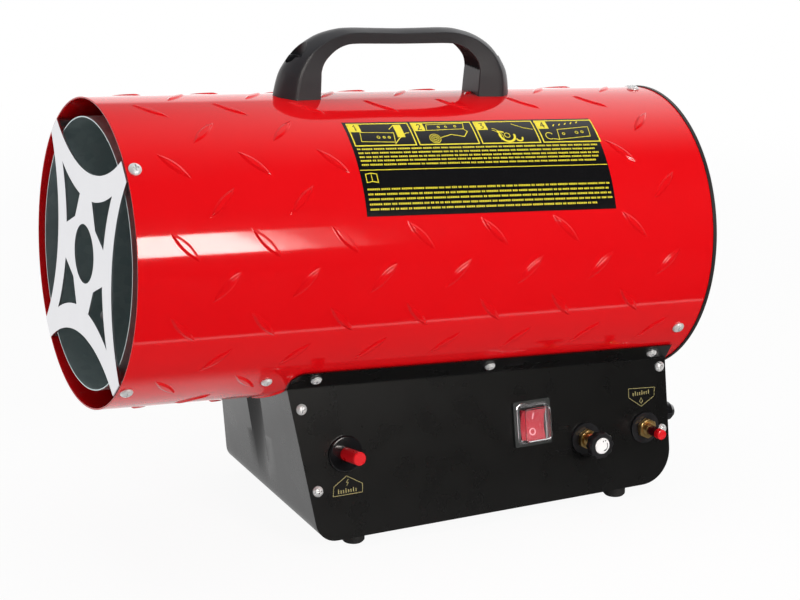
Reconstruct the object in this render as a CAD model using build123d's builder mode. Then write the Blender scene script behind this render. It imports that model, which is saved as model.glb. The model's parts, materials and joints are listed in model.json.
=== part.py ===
from build123d import *
import os
from math import acos, atan2, cos, degrees, hypot, radians, sin, sqrt

# Portable forced-air gas heater: a round sheet-metal tube, tilted so that its outlet points up
# a little, on a folded sheet base that holds the gas and ignition controls.
# Frame: X runs along the tube with the outlet at -X, the controls face -Y, Z is up, and the
# origin is on the floor under the middle of the tube. Distances called "s" run along the tube's
# axis from the outlet rim. Angles about the tube run up from the control side.

os.makedirs("parts", exist_ok=True)

# ------------------------------------------------------------------ driving dimensions (mm, degrees)
TUBE_R = 110.0          # outside of the body tube
TUBE_WALL = 1.2
SPAN = 457.0            # outlet rim to the back of the rear edging
TILT = 3.4              # the outlet is this much higher
AXIS_H = 205.3          # middle of the tube above the floor

LINER_R = 96.4          # outside of the combustion liner
LINER_WALL = 0.8
LINER_FRONT = 1.1
LINER_BACK = 290.0

SHEET = 1.2             # base sheet
BEND_HALF = 67.9        # half width of the base at the flange bend
BEND_DROP = 88.2        # flange bend below the tube's axis
SIDE_LEAN = 10.7        # the sides spread towards the floor
FLANGE_W = 22.0
FOOT_H = 9.0
BASE_FRONT_TOP = -103.8  # x of the base's outlet end at the bend
BASE_FRONT_FOOT = -86.4  # and at the floor
BASE_BACK = 215.3
BASE_FRONT_BEND = 124.2  # height of the flange bend at the outlet end
BASE_FRONT_CORNER = 16.0
BASE_BACK_CORNER = 26.0

GRILLE_T = 1.5
GRILLE_TIP = 108.0      # reach of the four arms
GRILLE_TIP_W = 16.5
GRILLE_WAIST = 59.0     # centre to the middle of a scalloped edge
GRILLE_HOLE = 21.0

SCREW_HEAD_R = 4.0      # M4 pan head
SCREW_SHANK_R = 1.9
SCREW_CROWN = 2.6
SCREW_HOLE_R = 2.0

STEM_DROOP = 6.0        # the gas controls sit nearer level than the side they pass through
IGNITER = (-61.5, 70.5)  # control places on the front side: x, height
SWITCH = (93.5, 71.2)
REGULATOR = (139.6, 52.8)
VALVE = (193.0, 53.4)

FIT = 0.05              # radial clearance of a running fit
REST = 0.05             # gap left between parts that only lie on each other

# ------------------------------------------------------------------ the shared frame
ALONG = Vector(cos(radians(TILT)), 0, -sin(radians(TILT)))
RISE = Vector(sin(radians(TILT)), 0, cos(radians(TILT)))
BACKWARD = Vector(0, 1, 0)


def on_axis(s):
    """Point on the tube's axis."""
    return Vector(0, 0, AXIS_H) + ALONG * (s - SPAN / 2)


def outward(angle):
    """Direction away from the tube's axis."""
    return RISE * sin(radians(angle)) - BACKWARD * cos(radians(angle))


def across(s):
    """Plane square to the tube: local x to the back, local y up, normal towards the rear."""
    return Plane(on_axis(s), x_dir=BACKWARD, z_dir=ALONG)


def radial(angle):
    """Plane through the tube's axis: local x is s, local y is the radius."""
    out = outward(angle)
    return Plane(on_axis(0), x_dir=ALONG, z_dir=ALONG.cross(out))


def skin(s, angle, radius=TUBE_R):
    """Plane resting on a cylinder about the tube's axis, local x along the tube, normal out."""
    out = outward(angle)
    return Plane(on_axis(s) + out * radius, x_dir=ALONG, z_dir=out)


SIDE_OUT = Vector(0, -cos(radians(SIDE_LEAN)), 0) + RISE * sin(radians(SIDE_LEAN))
SIDE_FOOT = Vector(on_axis(SPAN / 2)) - BACKWARD * BEND_HALF - RISE * BEND_DROP


def on_side(x, z, side=-1):
    """Plane on the outer face of a base side (-1 front, 1 back), local x level."""
    out = SIDE_OUT.normalized()
    offset = out.X * (x - SIDE_FOOT.X) + out.Z * (z - SIDE_FOOT.Z)
    y = SIDE_FOOT.Y + (SHEET / 2 - offset) / out.Y
    level = Vector(-out.Y, out.X, 0)
    if side > 0:
        out = Vector(out.X, -out.Y, out.Z)
        level = Vector(-out.Y, out.X, 0)
        y = -y
    return Plane((x, y, z), x_dir=level, z_dir=out)


def upright(seat):
    """Half-section plane of a turned part: local x is the radius, local y the height off the seat."""
    return Plane(seat.origin, x_dir=seat.x_dir, z_dir=-seat.y_dir)


def turned(plane, spin, pitch=0):
    """The plane turned about its own normal, then pitched about its own x."""
    spun = Plane(plane.location * Location((0, 0, 0), (0, 0, spin)))
    return Plane(spun.location * Location((0, 0, 0), (pitch, 0, 0)))


def behind(seat, y):
    """Point on a control's own axis inside the base, at a given y."""
    return seat.origin - seat.z_dir * ((seat.origin.Y - y) / seat.z_dir.Y)


# ------------------------------------------------------------------ shapes used more than once
def turn(seat, outline, mode=Mode.ADD):
    """Revolve an outline of (radius, height) corners about the seat's normal."""
    with BuildSketch(upright(seat)) as half:
        with BuildLine():
            Polyline(*outline, close=True)
        make_face()
    revolve(half.sketch, axis=Axis(seat.origin, seat.z_dir), mode=mode)


def rod(seat, radius, low, high, mode=Mode.ADD):
    """Round bar or hole about the seat's normal between two heights."""
    with BuildSketch(seat.offset(low)) as disc:
        Circle(radius)
    extrude(disc.sketch, amount=high - low, mode=mode)


def ring(seat, radius, wire_r):
    """Round wire bent to a circle about the seat's normal."""
    with BuildSketch(upright(seat)) as section:
        with Locations((radius, 0)):
            Circle(wire_r)
    revolve(section.sketch, axis=Axis(seat.origin, seat.z_dir))


def hexagon(seat, flats, low, high, bore):
    """Hexagon nut with a round bore."""
    with BuildSketch(seat.offset(low)) as outline:
        RegularPolygon(flats / 2, 6, major_radius=False)
        Circle(bore, mode=Mode.SUBTRACT)
    extrude(outline.sketch, amount=high - low)


def pan_screw(seat, length, head_r=SCREW_HEAD_R, shank_r=SCREW_SHANK_R, crown=SCREW_CROWN):
    """Cross-slotted pan screw whose head stands on the seat."""
    rim = crown * 0.35
    with BuildSketch(upright(seat)) as half:
        with BuildLine():
            Polyline((0, crown), (0, -length), (shank_r, -length), (shank_r, 0), (head_r, 0), (head_r, rim))
            ThreePointArc((head_r, rim), (head_r * 0.72, crown * 0.84), (0, crown))
        make_face()
    revolve(half.sketch, axis=Axis(seat.origin, seat.z_dir))
    with BuildSketch(seat.offset(crown * 0.45)) as cross:
        Rectangle(head_r * 1.1, head_r * 0.26)
        Rectangle(head_r * 0.26, head_r * 1.1)
    extrude(cross.sketch, amount=crown, mode=Mode.SUBTRACT)


def strip(plane, points, width, thickness, bend=2.0):
    """Bent strip of sheet: a centre line in the plane, given its thickness and its width."""
    with BuildSketch(plane.offset(-width / 2)) as section:
        with BuildLine():
            FilletPolyline(*points, radius=bend)
        trace(line_width=thickness)
    extrude(section.sketch, amount=width)


def pipe(points, radius, bend):
    """Round pipe through a list of points."""
    with BuildLine() as route:
        FilletPolyline(*points, radius=bend)
    with BuildSketch(Plane(route.line @ 0, z_dir=route.line % 0)) as end:
        Circle(radius)
    sweep(end.sketch, path=route.line)


# ------------------------------------------------------------------ places of the fasteners
GRILLE_SCREWS = [(6.3, angle) for angle in (45, -45, 135, -135)]
STRAP_SCREWS = [(110.0, -45.3), (110.0, -134.7)]
FLANGE_SCREWS = [(s, angle) for s in (148.6, 289.3, 430.6) for angle in (-46.2, -133.8)]
GUARD_SCREWS = [(440.0, angle) for angle in (-30, 90, 210)]
SIDE_SCREWS = [(-93.6, 107.0), (-85.4, 46.8), (209.6, 98.0), (208.8, 49.7)]
HANDLE_SCREW_S = [SPAN / 2 - 77.5, SPAN / 2 + 85.5]
FOOT_PLACES = [(x, y) for x in (-53.0, 171.0) for y in (-74.5, 74.5)]
LEAD_HOLE_S = 425.0

# ------------------------------------------------------------------ body tube
TUBE_LEN = SPAN - 2.0
with BuildPart() as outer_tube:
    with BuildSketch(across(0)):
        Circle(TUBE_R)
        Circle(TUBE_R - TUBE_WALL, mode=Mode.SUBTRACT)
    extrude(amount=TUBE_LEN)
    for s, angle in GRILLE_SCREWS + STRAP_SCREWS + FLANGE_SCREWS + GUARD_SCREWS:
        rod(skin(s, angle), SCREW_HOLE_R, -6, 3, mode=Mode.SUBTRACT)
    for s in HANDLE_SCREW_S:
        rod(skin(s, 90), 2.6, -6, 3, mode=Mode.SUBTRACT)
    rod(skin(LEAD_HOLE_S, -90), 6.0, -6, 3, mode=Mode.SUBTRACT)
    # service slot over the base for the gas riser, the spark lead and the thermocouple
    with BuildSketch(Plane.XY.offset(AXIS_H - TUBE_R - 20)):
        with Locations((92, 0)):
            SlotOverall(72, 50, rotation=90)
    extrude(amount=50, mode=Mode.SUBTRACT)
outer_tube.part.label = "outer_tube"
export_step(outer_tube.part, "parts/outer_tube.step")

with BuildPart() as rear_trim:
    # U-shaped edging pressed over the tube's rear edge
    turn(across(0), [(TUBE_R - 3.2, TUBE_LEN - 3), (TUBE_R - TUBE_WALL, TUBE_LEN - 3),
                     (TUBE_R - TUBE_WALL, TUBE_LEN), (TUBE_R, TUBE_LEN), (TUBE_R, TUBE_LEN - 1.2),
                     (TUBE_R + 0.8, TUBE_LEN - 1.2), (TUBE_R + 0.8, SPAN - 0.6), (TUBE_R + 0.2, SPAN),
                     (TUBE_R - 2.6, SPAN), (TUBE_R - 3.2, SPAN - 0.6)])
rear_trim.part.label = "rear_trim"
export_step(rear_trim.part, "parts/rear_trim.step")

# ------------------------------------------------------------------ combustion liner
LINER_SCREWS = [(40.0, angle) for angle in (45, -45, 135, -135)]
LINER_SCREWS += [(142.0, angle) for _, angle in STRAP_SCREWS]
with BuildPart() as liner:
    with BuildSketch(across(LINER_FRONT)):
        Circle(LINER_R)
        Circle(LINER_R - LINER_WALL, mode=Mode.SUBTRACT)
    extrude(amount=LINER_BACK - LINER_FRONT)
    for s, angle in LINER_SCREWS + [(272.0, 0), (272.0, 180)]:
        rod(skin(s, angle, LINER_R), SCREW_HOLE_R, -4, 4, mode=Mode.SUBTRACT)
liner.part.label = "liner"
export_step(liner.part, "parts/liner.step")

STRAP_W = 12.0
STRAP_T = 1.0


def liner_strap(angle, start, foot, high):
    """Joggled strap from the body tube down to the liner."""
    low = LINER_R + REST + STRAP_T / 2
    strip(radial(angle), [(start, high), (start + 13, high), (foot - 8, low), (foot + 8, low)],
          STRAP_W, STRAP_T)


TAB_R = TUBE_R - TUBE_WALL - 0.4        # outer face of a grille tab
with BuildPart() as liner_straps:
    for s, angle in GRILLE_SCREWS:
        liner_strap(angle, s - 5.3, 40.0, TAB_R - GRILLE_T - REST - STRAP_T / 2)
    for s, angle in STRAP_SCREWS:
        liner_strap(angle, s - 7, 142.0, TUBE_R - TUBE_WALL - 0.3 - STRAP_T / 2)
    for s, angle in GRILLE_SCREWS + STRAP_SCREWS:
        rod(skin(s, angle), SCREW_HOLE_R, -8, 0, mode=Mode.SUBTRACT)
    for s, angle in LINER_SCREWS:
        rod(skin(s, angle, LINER_R), SCREW_HOLE_R, -4, 4, mode=Mode.SUBTRACT)
liner_straps.part.label = "liner_straps"
export_step(liner_straps.part, "parts/liner_straps.step")

with BuildPart() as liner_screws:
    for s, angle in LINER_SCREWS:
        inner = skin(s, angle, LINER_R - LINER_WALL - 0.25)
        pan_screw(Plane(inner.origin, x_dir=inner.x_dir, z_dir=-inner.z_dir), 6.0, crown=2.2)
liner_screws.part.label = "liner_screws"
export_step(liner_screws.part, "parts/liner_screws.step")

# ------------------------------------------------------------------ outlet grille
TIP_HALF = GRILLE_TIP_W / 2
TIP_NEAR = (GRILLE_TIP - TIP_HALF) * cos(radians(45))   # the two coordinates of a tip corner
TIP_FAR = (GRILLE_TIP + TIP_HALF) * cos(radians(45))
SCALLOP_SAG = TIP_FAR - GRILLE_WAIST
SCALLOP_R = (TIP_NEAR ** 2 + SCALLOP_SAG ** 2) / (2 * SCALLOP_SAG)
GRILLE_FACE = -0.8

with BuildSketch() as grille_window:
    with BuildLine():
        ThreePointArc((13.0, 40.5), (31.0, 44.5), (54.5, 54.5))
        ThreePointArc((54.5, 54.5), (44.5, 31.0), (40.5, 13.0))
        Polyline((40.5, 13.0), (22.0, 22.0), (13.0, 40.5))
    make_face()

with BuildPart() as front_grille:
    with BuildSketch(across(GRILLE_FACE)):
        with BuildLine():
            Polyline((TIP_FAR, TIP_NEAR), (TIP_NEAR, TIP_FAR), (-TIP_NEAR, TIP_FAR), (-TIP_FAR, TIP_NEAR),
                     (-TIP_FAR, -TIP_NEAR), (-TIP_NEAR, -TIP_FAR), (TIP_NEAR, -TIP_FAR),
                     (TIP_FAR, -TIP_NEAR), close=True)
        make_face()
        with PolarLocations(GRILLE_WAIST + SCALLOP_R, 4):
            Circle(SCALLOP_R, mode=Mode.SUBTRACT)
        Circle(GRILLE_HOLE, mode=Mode.SUBTRACT)
        with PolarLocations(0, 4):
            add(grille_window.sketch, mode=Mode.SUBTRACT)
    extrude(amount=GRILLE_T)
    for s, angle in GRILLE_SCREWS:
        # tab folded back inside the tube
        with BuildSketch(skin(6.8, angle, TAB_R)) as tab:
            Rectangle(14.4, GRILLE_TIP_W - 0.5)
        extrude(tab.sketch, amount=-GRILLE_T)
    for s, angle in GRILLE_SCREWS:
        rod(skin(s, angle), SCREW_HOLE_R, -6, 3, mode=Mode.SUBTRACT)
front_grille.part.label = "front_grille"
export_step(front_grille.part, "parts/front_grille.step")

with BuildPart() as grille_screws:
    for s, angle in GRILLE_SCREWS:
        pan_screw(skin(s, angle, TUBE_R + 0.1), 9.0, head_r=4.6)
grille_screws.part.label = "grille_screws"
export_step(grille_screws.part, "parts/grille_screws.step")

with BuildPart() as strap_screws:
    for s, angle in STRAP_SCREWS:
        pan_screw(skin(s, angle, TUBE_R + 0.1), 8.0)
strap_screws.part.label = "strap_screws"
export_step(strap_screws.part, "parts/strap_screws.step")

# ------------------------------------------------------------------ rear guard with the motor on it
GUARD_S = 449.0
GUARD_RING = 104.0
GUARD_PLATE_R = 36.0
GUARD_SPOKE_R = 1.7
GUARD_PLATE_T = 2.0
GUARD_TAB_R = TUBE_R - TUBE_WALL - 1.1
MOTOR_STUD = 24.0        # bolt circle of the motor
with BuildPart() as rear_guard:
    for s, angle in GUARD_SCREWS:
        # tab along the inside of the tube, welded to the rim wire
        strip(radial(angle), [(s - 7, GUARD_TAB_R), (GUARD_S + 0.6, GUARD_TAB_R),
                              (GUARD_S + 0.6, GUARD_RING - 0.4)], 14.0, 1.5)
        rod(skin(s, angle), SCREW_HOLE_R, -6, 3, mode=Mode.SUBTRACT)
    # rings of wire on six spokes, with a plate in the middle that carries the motor
    for radius in range(44, 100, 12):
        ring(across(GUARD_S), radius, 1.3)
    ring(across(GUARD_S), GUARD_RING, 2.0)
    for angle in range(30, 390, 60):
        start = on_axis(GUARD_S - 1.3 - GUARD_SPOKE_R + 0.4) + outward(angle) * 30
        rod(Plane(start, z_dir=outward(angle)), GUARD_SPOKE_R, 0, GUARD_RING - 30)
    rod(across(GUARD_S), GUARD_PLATE_R, -2.3 - GUARD_PLATE_T, -2.3)
    with BuildSketch(across(GUARD_S)):
        with PolarLocations(MOTOR_STUD, 4, start_angle=45):
            Circle(2.1)
    extrude(amount=-6, mode=Mode.SUBTRACT)
rear_guard.part.label = "rear_guard"
export_step(rear_guard.part, "parts/rear_guard.step")

with BuildPart() as guard_screws:
    for s, angle in GUARD_SCREWS:
        pan_screw(skin(s, angle, TUBE_R + 0.1), 8.0, head_r=4.6)
guard_screws.part.label = "guard_screws"
export_step(guard_screws.part, "parts/guard_screws.step")

MOTOR_BACK = GUARD_S - 4.35
MOTOR_FRONT = 388.0
MOTOR_R = 31.0
SHAFT_R = 3.0
with BuildPart() as motor:
    turn(across(0), [(SHAFT_R + FIT, MOTOR_FRONT), (9, MOTOR_FRONT), (9, MOTOR_FRONT + 4),
                     (22, MOTOR_FRONT + 7), (MOTOR_R - 3, MOTOR_FRONT + 9), (MOTOR_R - 3, MOTOR_FRONT + 14),
                     (MOTOR_R, MOTOR_FRONT + 14), (MOTOR_R, MOTOR_BACK - 12), (MOTOR_R - 3, MOTOR_BACK - 12),
                     (MOTOR_R - 3, MOTOR_BACK), (0, MOTOR_BACK), (0, MOTOR_FRONT + 36),
                     (SHAFT_R + FIT, MOTOR_FRONT + 36)])
    with BuildSketch(across(MOTOR_BACK)):
        with PolarLocations(MOTOR_STUD, 4, start_angle=45):
            Circle(SCREW_SHANK_R + REST)
    extrude(amount=-11, mode=Mode.SUBTRACT)
motor.part.label = "motor"
export_step(motor.part, "parts/motor.step")

with BuildPart() as motor_screws:
    for quarter in range(4):
        place = turned(across(GUARD_S - 2.3 + REST), 45 + 90 * quarter)
        pan_screw(Plane(place.origin + place.x_dir * MOTOR_STUD, x_dir=place.x_dir, z_dir=place.z_dir), 10.0)
motor_screws.part.label = "motor_screws"
export_step(motor_screws.part, "parts/motor_screws.step")

FAN_S = 367.0
HUB_R = 13.0
BLADE_R = 92.0
BLADE_PITCH = 27.0
with BuildPart() as motor_shaft:
    rod(across(0), SHAFT_R, 348.0, MOTOR_FRONT + 35)
motor_shaft.part.label = "motor_shaft"
export_step(motor_shaft.part, "parts/motor_shaft.step")

with BuildPart() as fan:
    rod(across(FAN_S), HUB_R, -9, 9)
    for blade in range(5):
        root = turned(across(FAN_S), 72 * blade, BLADE_PITCH)
        with BuildSketch(root.offset(-0.75)):
            with BuildLine():
                Polyline((9, 9), (9, -9), (30, -17))
                ThreePointArc((30, -17), (68, -27), (88, -22))
                ThreePointArc((88, -22), (BLADE_R, 0), (86, 24))
                ThreePointArc((86, 24), (62, 22), (30, 13))
                Line((30, 13), (9, 9))
            make_face()
        extrude(amount=1.5)
    rod(across(FAN_S), SHAFT_R, -12, 12, mode=Mode.SUBTRACT)
fan.part.label = "fan"
export_step(fan.part, "parts/fan.step")

with BuildPart() as fan_nut:
    hexagon(across(FAN_S), 10.0, -14.0, -9.0, SHAFT_R)
fan_nut.part.label = "fan_nut"
export_step(fan_nut.part, "parts/fan_nut.step")

# ------------------------------------------------------------------ burner
BURNER_BACK = 260.0
PROBE_OFFSET = 28.0      # spark electrode and thermocouple, to the back and to the front
with BuildPart() as burner_head:
    turn(across(0), [(5.05, BURNER_BACK - 1.2), (5.05, BURNER_BACK), (24.6, BURNER_BACK), (49.4, 225.6),
                     (49.4, 205), (48.2, 205), (48.2, 225), (24, BURNER_BACK - 1.2)])
    for side in (-1, 1):
        probe = Plane(on_axis(0) + BACKWARD * side * PROBE_OFFSET, x_dir=BACKWARD, z_dir=ALONG)
        rod(probe, 4.2, 222, 262, mode=Mode.SUBTRACT)
    for angle in range(0, 360, 20):
        rod(skin(214, angle, 49.4), 2.5, -4, 2, mode=Mode.SUBTRACT)
    with BuildSketch(across(BURNER_BACK - 3)):
        with PolarLocations(14, 10):
            Circle(2.0)
    extrude(amount=5, mode=Mode.SUBTRACT)
burner_head.part.label = "burner_head"
export_step(burner_head.part, "parts/burner_head.step")

with BuildPart() as flame_disc:
    with BuildSketch(across(209)):
        Circle(34)
        for angle in (0, 60, 120):
            Rectangle(95.6, 8, rotation=angle)
        Circle(5, mode=Mode.SUBTRACT)
        with PolarLocations(20, 6, start_angle=30):
            Circle(4, mode=Mode.SUBTRACT)
    extrude(amount=1.2)
    for side in (-1, 1):
        probe = Plane(on_axis(0) + BACKWARD * side * PROBE_OFFSET, x_dir=BACKWARD, z_dir=ALONG)
        rod(probe, 4.2, 205, 215, mode=Mode.SUBTRACT)
flame_disc.part.label = "flame_disc"
export_step(flame_disc.part, "parts/flame_disc.step")

BRACKET_W = 20.0
BRACKET_T = 1.2
with BuildPart() as burner_bracket:
    half = sqrt((LINER_R - LINER_WALL) ** 2 - (BRACKET_W / 2) ** 2) - REST - BRACKET_T / 2
    strip(Plane(on_axis(0), x_dir=ALONG, z_dir=RISE),
          [(280, -half), (BURNER_BACK + 0.8, -half), (BURNER_BACK + 0.8, half), (280, half)],
          BRACKET_W, BRACKET_T)
    rod(across(0), 5.05, 255, 265, mode=Mode.SUBTRACT)
    for side, hole in ((-1, 2.6), (1, 3.6)):
        probe = Plane(on_axis(0) + BACKWARD * side * PROBE_OFFSET, x_dir=BACKWARD, z_dir=ALONG)
        rod(probe, hole, 255, 265, mode=Mode.SUBTRACT)
    for angle in (0, 180):
        rod(skin(272, angle, LINER_R), SCREW_HOLE_R, -4, 4, mode=Mode.SUBTRACT)
burner_bracket.part.label = "burner_bracket"
export_step(burner_bracket.part, "parts/burner_bracket.step")

with BuildPart() as bracket_screws:
    for angle in (0, 180):
        pan_screw(skin(272, angle, LINER_R + 0.1), 6.0)
bracket_screws.part.label = "bracket_screws"
export_step(bracket_screws.part, "parts/bracket_screws.step")

with BuildPart() as burner_nozzle:
    turn(across(0), [(1, 250), (5, 250), (5, 285), (1, 285)])
    hexagon(across(0), 14.0, BURNER_BACK + 1.45, 270, 4.9)
burner_nozzle.part.label = "burner_nozzle"
export_step(burner_nozzle.part, "parts/burner_nozzle.step")

with BuildPart() as electrode_ceramic:
    spark = Plane(on_axis(0) + BACKWARD * PROBE_OFFSET, x_dir=BACKWARD, z_dir=ALONG)
    rod(spark, 3.5, 236, 276)
    rod(spark, 5.0, 262, 268)
electrode_ceramic.part.label = "electrode_ceramic"
export_step(electrode_ceramic.part, "parts/electrode_ceramic.step")

with BuildPart() as electrode_pin:
    rod(spark, 0.9, 216, 236)
electrode_pin.part.label = "electrode_pin"
export_step(electrode_pin.part, "parts/electrode_pin.step")

with BuildPart() as thermocouple:
    sense = Plane(on_axis(0) - BACKWARD * PROBE_OFFSET, x_dir=BACKWARD, z_dir=ALONG)
    turn(sense, [(0, 220), (1.6, 223), (2.5, 223), (2.5, 276), (0, 276)])
thermocouple.part.label = "thermocouple"
export_step(thermocouple.part, "parts/thermocouple.step")

with BuildPart() as overheat_thermostat:
    seat = skin(160, 100, LINER_R + REST)
    with BuildSketch(seat):
        SlotOverall(24, 9)
    extrude(amount=1.0)
    rod(seat, 7.0, 0, 6.0)
    with BuildSketch(seat.offset(6.0)):
        with Locations((-3.5, 0), (3.5, 0)):
            Rectangle(0.8, 4.5)
    extrude(amount=4.5)
overheat_thermostat.part.label = "overheat_thermostat"
export_step(overheat_thermostat.part, "parts/overheat_thermostat.step")

# ------------------------------------------------------------------ folded base
BEND_REACH = hypot(BEND_HALF, BEND_DROP)
FLANGE_TOUCH = TUBE_R + REST + SHEET / 2        # radius that the flange's middle line is tangent to
FLANGE_ANGLE = degrees(atan2(BEND_DROP, BEND_HALF) - acos(FLANGE_TOUCH / BEND_REACH))
FLANGE_END = (BEND_HALF + (FLANGE_W + 3) * sin(radians(FLANGE_ANGLE)),
              BEND_DROP - (FLANGE_W + 3) * cos(radians(FLANGE_ANGLE)))
SIDE_LONG = 118.0
SIDE_SPREAD = SIDE_LONG * sin(radians(SIDE_LEAN))
SIDE_RISE = SIDE_LONG * cos(radians(SIDE_LEAN))
SIDE_END = (BEND_HALF + SIDE_SPREAD, BEND_DROP + SIDE_RISE)


def side_sheet(side):
    """Base side with its flange: a folded section cut to the side's outline."""
    with BuildSketch(across(0)) as section:
        with BuildLine():
            FilletPolyline(*[(side * half, -drop) for half, drop in
                             (FLANGE_END, (BEND_HALF, BEND_DROP), SIDE_END)], radius=2.0)
        trace(line_width=SHEET)
    extrude(section.sketch, amount=SPAN)
    with BuildSketch(Plane.XZ) as outline:
        with BuildLine():
            Polyline((BASE_FRONT_FOOT, FOOT_H), (BASE_BACK, FOOT_H), (BASE_BACK, 105.0), (210.0, 119.9),
                     (-105.1, 138.6), (BASE_FRONT_TOP, BASE_FRONT_BEND), close=True)
        make_face()
        corners = outline.vertices()
        fillet(corners.sort_by_distance((BASE_FRONT_FOOT, FOOT_H))[0], BASE_FRONT_CORNER)
        corners = outline.vertices()
        fillet(corners.sort_by_distance((BASE_BACK, FOOT_H))[0], BASE_BACK_CORNER)
        corners = outline.vertices()
        fillet(corners.sort_by_distance((-105.1, 138.6))[0], 9.0)
    extrude(outline.sketch, amount=150, both=True, mode=Mode.INTERSECT)
    for s, angle in FLANGE_SCREWS:
        rod(skin(s, angle), SCREW_HOLE_R, -2, 5, mode=Mode.SUBTRACT)
    for x, z in SIDE_SCREWS:
        rod(on_side(x, z, side), SCREW_HOLE_R, -4, 4, mode=Mode.SUBTRACT)


GAS_STEM_R = 5.2
igniter_seat = on_side(*IGNITER)
switch_seat = on_side(*SWITCH)
regulator_seat = turned(on_side(*REGULATOR), 0, STEM_DROOP)
valve_seat = turned(on_side(*VALVE), 0, STEM_DROOP)

with BuildPart() as front_panel:
    side_sheet(-1)
    rod(igniter_seat, 9.1, -5, 5, mode=Mode.SUBTRACT)
    for seat in (regulator_seat, valve_seat):
        rod(seat, GAS_STEM_R + 0.3, -5, 5, mode=Mode.SUBTRACT)
    with BuildSketch(switch_seat.offset(-5)):
        Rectangle(28.0, 30.6)
    extrude(amount=10, mode=Mode.SUBTRACT)
front_panel.part.label = "front_panel"
export_step(front_panel.part, "parts/front_panel.step")

with BuildPart() as back_panel:
    side_sheet(1)
back_panel.part.label = "back_panel"
export_step(back_panel.part, "parts/back_panel.step")

CHANNEL_TOP = 130.0
CHANNEL_LEAN = (BASE_FRONT_FOOT - BASE_FRONT_TOP) / (BASE_FRONT_BEND - FOOT_H)
CHANNEL_CORNERS = [(BASE_FRONT_FOOT - CHANNEL_LEAN * (CHANNEL_TOP - FOOT_H), CHANNEL_TOP),
                   (BASE_FRONT_FOOT, FOOT_H), (BASE_BACK, FOOT_H), (BASE_BACK, CHANNEL_TOP)]
CHANNEL_BENDS = (BASE_FRONT_CORNER, BASE_BACK_CORNER)
GLAND_HOLE_R = 6.0
INLET_R = 6.9
INLET_END_R = 6.58       # free end, a G 1/4 thread's outside
EAR_W = 13.0
inlet_corner = behind(regulator_seat, 22.0)     # where the gas pipe turns towards the regulator
inlet_seat = Plane((BASE_BACK, inlet_corner.Y, inlet_corner.Z), x_dir=(0, 1, 0), z_dir=(1, 0, 0))
gland_seat = Plane((BASE_BACK, -66, 58.7), x_dir=(0, 1, 0), z_dir=(1, 0, 0))
with BuildPart() as base_channel:
    # one strip folded up at both ends, with an ear behind each side screw
    with BuildSketch(Plane.XZ):
        with BuildLine():
            outer = FilletPolyline(*CHANNEL_CORNERS, radius=CHANNEL_BENDS)
            offset(outer, amount=SHEET, side=Side.LEFT, closed=True)
        make_face()
    extrude(amount=120, both=True)
    for side in (-1, 1):
        for x, z in SIDE_SCREWS:
            with BuildSketch(on_side(x, z, side).offset(-SHEET - REST)):
                with Locations((side * EAR_W / 4 if x < 0 else -side * EAR_W / 4, 0)):
                    Rectangle(EAR_W * 1.5, EAR_W)
            extrude(amount=-SHEET)
    # its edges lie inside the two sides, and nothing stands out past its ends
    with BuildSketch(across(-10)):
        with BuildLine():
            inset = (SHEET / 2 + REST) / cos(radians(SIDE_LEAN))
            low = (SIDE_END[0] - inset, -SIDE_END[1])
            high = (BEND_HALF - SIDE_SPREAD - inset, SIDE_RISE - BEND_DROP)
            Polyline(high, low, (-low[0], low[1]), (-high[0], high[1]), close=True)
        make_face()
    extrude(amount=SPAN + 40, mode=Mode.INTERSECT)
    with BuildSketch(Plane.XZ):
        with BuildLine():
            FilletPolyline(*CHANNEL_CORNERS, radius=CHANNEL_BENDS)
            Line(CHANNEL_CORNERS[-1], CHANNEL_CORNERS[0])
        make_face()
    extrude(amount=120, both=True, mode=Mode.INTERSECT)
    rod(across(0), TUBE_R + REST, -20, SPAN + 20, mode=Mode.SUBTRACT)
    for side in (-1, 1):
        for x, z in SIDE_SCREWS:
            rod(on_side(x, z, side), SCREW_HOLE_R, -4, 0, mode=Mode.SUBTRACT)
    for x, y in FOOT_PLACES:
        rod(Plane((x, y, FOOT_H)), SCREW_HOLE_R, -1, 3, mode=Mode.SUBTRACT)
    rod(gland_seat, GLAND_HOLE_R, -3, 3, mode=Mode.SUBTRACT)
    rod(inlet_seat, INLET_R + 0.1, -3, 3, mode=Mode.SUBTRACT)
base_channel.part.label = "base_channel"
export_step(base_channel.part, "parts/base_channel.step")

with BuildPart() as side_screws:
    for side in (-1, 1):
        for x, z in SIDE_SCREWS:
            pan_screw(on_side(x, z, side), 7.0)
side_screws.part.label = "side_screws"
export_step(side_screws.part, "parts/side_screws.step")

with BuildPart() as flange_screws:
    for s, angle in FLANGE_SCREWS:
        pan_screw(skin(s, angle, TUBE_R + SHEET + REST), 8.0)
flange_screws.part.label = "flange_screws"
export_step(flange_screws.part, "parts/flange_screws.step")

with BuildPart() as feet:
    for x, y in FOOT_PLACES:
        turn(Plane((x, y, 0)), [(4.6, 0), (7.3, 0), (8.5, 1.4), (8.5, FOOT_H), (1.95, FOOT_H), (1.95, 4.5),
                                (4.6, 4.5)])
feet.part.label = "feet"
export_step(feet.part, "parts/feet.step")

with BuildPart() as foot_screws:
    for x, y in FOOT_PLACES:
        pan_screw(Plane((x, y, 4.5), z_dir=(0, 0, -1)), 10.0)
foot_screws.part.label = "foot_screws"
export_step(foot_screws.part, "parts/foot_screws.step")

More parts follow.
